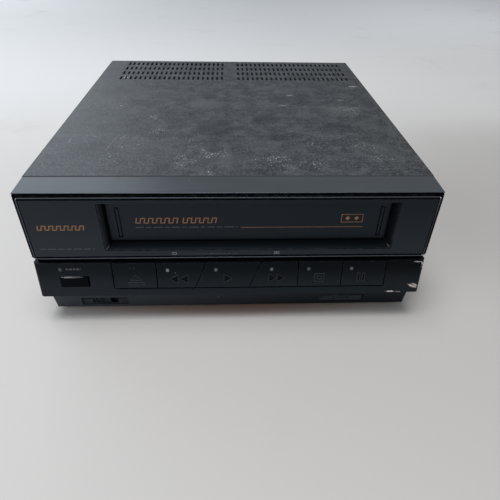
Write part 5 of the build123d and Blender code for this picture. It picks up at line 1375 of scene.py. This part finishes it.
def meander(start, end, foot, top, pitch, line):
    """A plain running pattern: slanted uprights joined in turn at their tops and feet."""
    bars = []
    middle = (foot + top) / 2
    count = int((end - start) / pitch) + 1
    for i in range(count):
        x = start + i * pitch
        bars.append((x, middle, line, top - foot, PATTERN_SLANT))
        if i < count - 1:
            z = top - line / 2 if i % 2 else foot + line / 2
            shift = PATTERN_SLANT * (z - middle)
            bars.append((x + pitch / 2 + shift, z, pitch, line, 0.0))
    return bars


def printed_marks(tree):
    """All the printed marks of the face, the door and the panel."""
    door_y = PLATE_FRONT - PRINT_THICKNESS / 2
    face_y = FACE_FRONT - PRINT_THICKNESS / 2
    power_y = panel_y(POWER_DASHES[2]) - PRINT_THICKNESS / 2
    bronze = meander(*DOOR_PATTERNS[0]) + meander(*DOOR_PATTERNS[1])
    bronze += [DOOR_LINE, *outlined(*DOOR_FRAME), *LOZENGES]
    icons = [bar for icon in FACE_FRAMES for bar in outlined(*icon)]
    thin = [*MOUTH_LINES, *dashes(*MOUTH_DASHES)]
    printed_row("door_bronze_marks", tree, bronze, door_y, "door", BRONZE_INK)
    printed_row("door_grey_dashes", tree, dashes(*DOOR_DASHES), door_y, "door", DIM_INK)
    printed_row("face_bronze_band", tree, meander(*FACE_PATTERN), face_y, "case", BRONZE_INK)
    printed_row("face_grey_dashes", tree, dashes(*FACE_DASHES), face_y, "case", DIM_INK)
    printed_row("face_thin_lines", tree, thin, face_y, "case", DIM_INK)
    printed_row("face_icons", tree, icons, face_y, "case", PALE_INK)
    printed_row("power_dashes", tree, dashes(*POWER_DASHES), power_y, "case", DIM_INK,
                lean=-math.atan(PANEL_LEAN))


# ---- recesses ------------

def recess_insert(name, middle, cutters):
    """Insert that fills a recess up to a step behind the chin, open where its control moves."""
    half = RECESS_HALF - INSERT_GAP
    insert = block(middle - half, middle + half, RECESS_FOOT + INSERT_GAP, RECESS_TOP - INSERT_GAP,
                   INSERT_FRONT, RECESS_BACK - INSERT_BACK_GAP)
    line_half = RECESS_HALF - INSERT_LINE_MARGIN
    line = block(middle - line_half, middle + line_half, *INSERT_LINE, INSERT_FRONT - OVERCUT,
                 INSERT_FRONT + INSERT_LINE_DEPTH)
    combine(insert, cutters + [line])
    insert.name = name
    return finish_piece(shade(insert), "case", "tray_plastic", material=LIT_INSERT_PLASTIC)


def wheel_clearance():
    """A disc that clears the tracking wheel."""
    solid = bmesh.new()
    bmesh.ops.create_cone(solid, cap_ends=True, segments=96, radius1=WHEEL_CLEAR_RADIUS * MM,
                          radius2=WHEEL_CLEAR_RADIUS * MM, depth=2 * WHEEL_CLEAR_HALF * MM,
                          matrix=Matrix.Translation(spot(WHEEL_MIDDLE, WHEEL_Y, RECESS_Z)))
    return as_object(solid)


def recess_inserts(tree):
    """Both inserts and the dark ticks beside the slide knob."""
    start = KNOB_REST_X - KNOB_HALF
    end = KNOB_REST_X + KNOB_TRAVEL + KNOB_HALF
    skin_back = INSERT_FRONT + INSERT_SKIN
    openings = ((end, KNOB_HALF_HEIGHT, 0.0, skin_back + INSERT_GAP),
                (POCKET_END, KNOB_HALF_HEIGHT, skin_back, skin_back + SHUTTER_SPACE),
                (end, KNOB_HALF_HEIGHT, skin_back, RECESS_BACK - INSERT_BACK_SKIN),
                (end, KNOB_CLEARANCE, 0.0, THROUGH))
    recess_insert("slide_insert", RECESS_MIDDLE, [
        block(start, stop, RECESS_Z - half_height, RECESS_Z + half_height, front, back)
        for stop, half_height, front, back in openings])
    recess_insert("wheel_insert", WHEEL_MIDDLE, [wheel_clearance()])
    printed_row("recess_ticks", tree, TICKS, INSERT_FRONT - TICKS_PROUD, "case", DARK_INK)


# ---- rear ------------

def socket_threads(tree):
    """Threads on the two aerial sockets."""
    points = point_mesh([spot(x, REAR_FACE + THREAD_START, SOCKET_Z) for x in SOCKET_X])
    piece = grow("socket_threads", points, tree, FINISHES["zinc_steel"], turns=THREAD_TURNS,
                 pitch=THREAD_PITCH * MM, barrel_radius=(SOCKET_RADIUS - THREAD_SINK) * MM,
                 ridge_radius=THREAD_RIDGE * MM)
    return finish_piece(shade(piece, ROUND_ANGLE), "case", "zinc_steel")


# ---- studio ------------

# lamps: name, place, target, size, power and colour, in metres and watts
LAMPS = (
    ("window", (-1.5, 1.75, 0.98), (0.0, 0.0, 0.05), 2.0, 22.5, (0.86, 0.94, 1.0)),
    ("overhead", (-0.2, -0.24, 2.4), (0.0, 0.0, 0.0), 1.2, 42.5, (0.97, 0.98, 1.0)),
    ("front_fill", (-1.15, -1.0, 0.75), (0.0, 0.0, 0.0), 0.9, 6.0, (0.97, 0.95, 0.95)),
)
FLOOR_REACH = 6.0


def floor_finish():
    """Pale floor, painted lighter and cooler to the left and lighter far off to the right as
    painted light, with soft blotches, a painted shadow to the right of the player and a painted
    warm contact shadow in front of it.
    """
    paint = Paint("floor_finish", 0.85, specular=0.1)
    place = paint.place()
    parts = paint.parts(place)
    # painted light: lighter and cooler to the left, lighter far off to the right
    rightwards = paint.threshold(parts[0], -0.9, 0.5)
    near = paint.mix_colour(rightwards, grey(218, 1), grey(190, 4))
    middle = paint.mix_colour(rightwards, grey(233, -1), grey(211, 2))
    far = paint.mix_colour(paint.threshold(parts[0], -0.9, -0.1), grey(223), grey(211, -1))
    far = paint.mix_colour(paint.threshold(parts[0], 0.1, 0.9), far, grey(237))
    paint.start(paint.threshold(parts[1], 0.0, 0.5), near, middle)
    paint.lay(paint.threshold(parts[1], 0.45, 1.2), far)
    blotches = paint.noise(place, 7.0, detail=6.0, roughness=0.65)
    paint.lay(paint.threshold(blotches, 0.55, 0.8) * 0.4, grey(186, 3))
    # painted shadow on the floor to the right of the player
    beside = paint.group(SCUFF, middle=(0.42, 0.02, 0.0), facing=UPWARD, half_length=0.3,
                         half_width=0.3)
    paint.lay(beside["Soft"] * 0.6, grey(165, 3))
    # painted warm contact shadow on the floor in front of the chin
    under = paint.group(SCUFF, middle=(0.0, -0.152, 0.0), facing=UPWARD, half_length=0.155,
                        half_width=0.022)
    paint.lay(under["Soft"] * 0.95, (0.38, 0.25, 0.2, 1.0))
    return paint.finish()


def floor():
    """The floor that the player stands on."""
    mesh = bpy.data.meshes.new("floor")
    corners = [(x * FLOOR_REACH, y * FLOOR_REACH, 0)
               for x, y in box_outline(-1, 1, -1, 1)]
    mesh.from_pydata(corners, [], [(0, 1, 2, 3)])
    mesh.materials.append(floor_finish())
    new_object("floor", mesh)


def lighting():
    """Backdrop light and lamps."""
    world = bpy.data.worlds.new("studio_air")
    world.use_nodes = True
    backdrop = world.node_tree.nodes["Background"].inputs
    backdrop["Color"].default_value = (0.88, 0.94, 1.0, 1.0)
    backdrop["Strength"].default_value = 0.24
    bpy.context.scene.world = world
    for name, place, target, size, power, tint in LAMPS:
        lamp = bpy.data.lights.new(name, "AREA")
        lamp.shape = "SQUARE"
        lamp.size = size
        lamp.energy = power
        lamp.color = tint
        holder = new_object(name, lamp)
        holder.location = place
        aim = Vector(target) - Vector(place)
        holder.rotation_euler = aim.to_track_quat("-Z", "Y").to_euler()


def viewpoint():
    """Camera and view."""
    lens = bpy.data.cameras.new("camera")
    lens.lens = CAMERA_LENS
    lens.sensor_width = 36.0
    lens.clip_start = 0.01
    camera = new_object("camera", lens)
    turn = Matrix.Rotation(CAMERA_TURN, 4, "Z")
    tilt = Matrix.Rotation(math.pi / 2 - CAMERA_DOWN, 4, "X")
    roll = Matrix.Rotation(CAMERA_ROLL, 4, "Z")
    camera.matrix_world = Matrix.Translation(spot(*CAMERA_PLACE)) @ turn @ tilt @ roll
    bpy.context.scene.camera = camera
    bpy.context.scene.view_settings.view_transform = "Standard"


# ---- everything together ------------

floor()
lighting()
viewpoint()
front_bezel()
face_sheet()
door_face()
control_moulding()
moulding("base_tray_moulding", "base_tray", TRAY_EDGE, "case", "tray_plastic")
moulding("rubber_feet_moulding", "rubber_feet", FOOT_EDGE, "case", "rubber", segments=3)
moulding("cord_gland_moulding", "cord_gland", GLAND_EDGE, "case", "black_acetal")
moulding("ribbed_wheel", "tracking_wheel", WHEEL_EDGE, "tracking_wheel", "button_plastic",
         KNOB_PLASTIC)
power_cap()
slide_knob()
BEAD = bead_tree()
BARS = printed_bar_tree()
transport_buttons(BEAD)
rim_bead(BEAD)
screws(screw_head_tree())
printed_marks(BARS)
recess_inserts(BARS)
socket_threads(thread_tree())
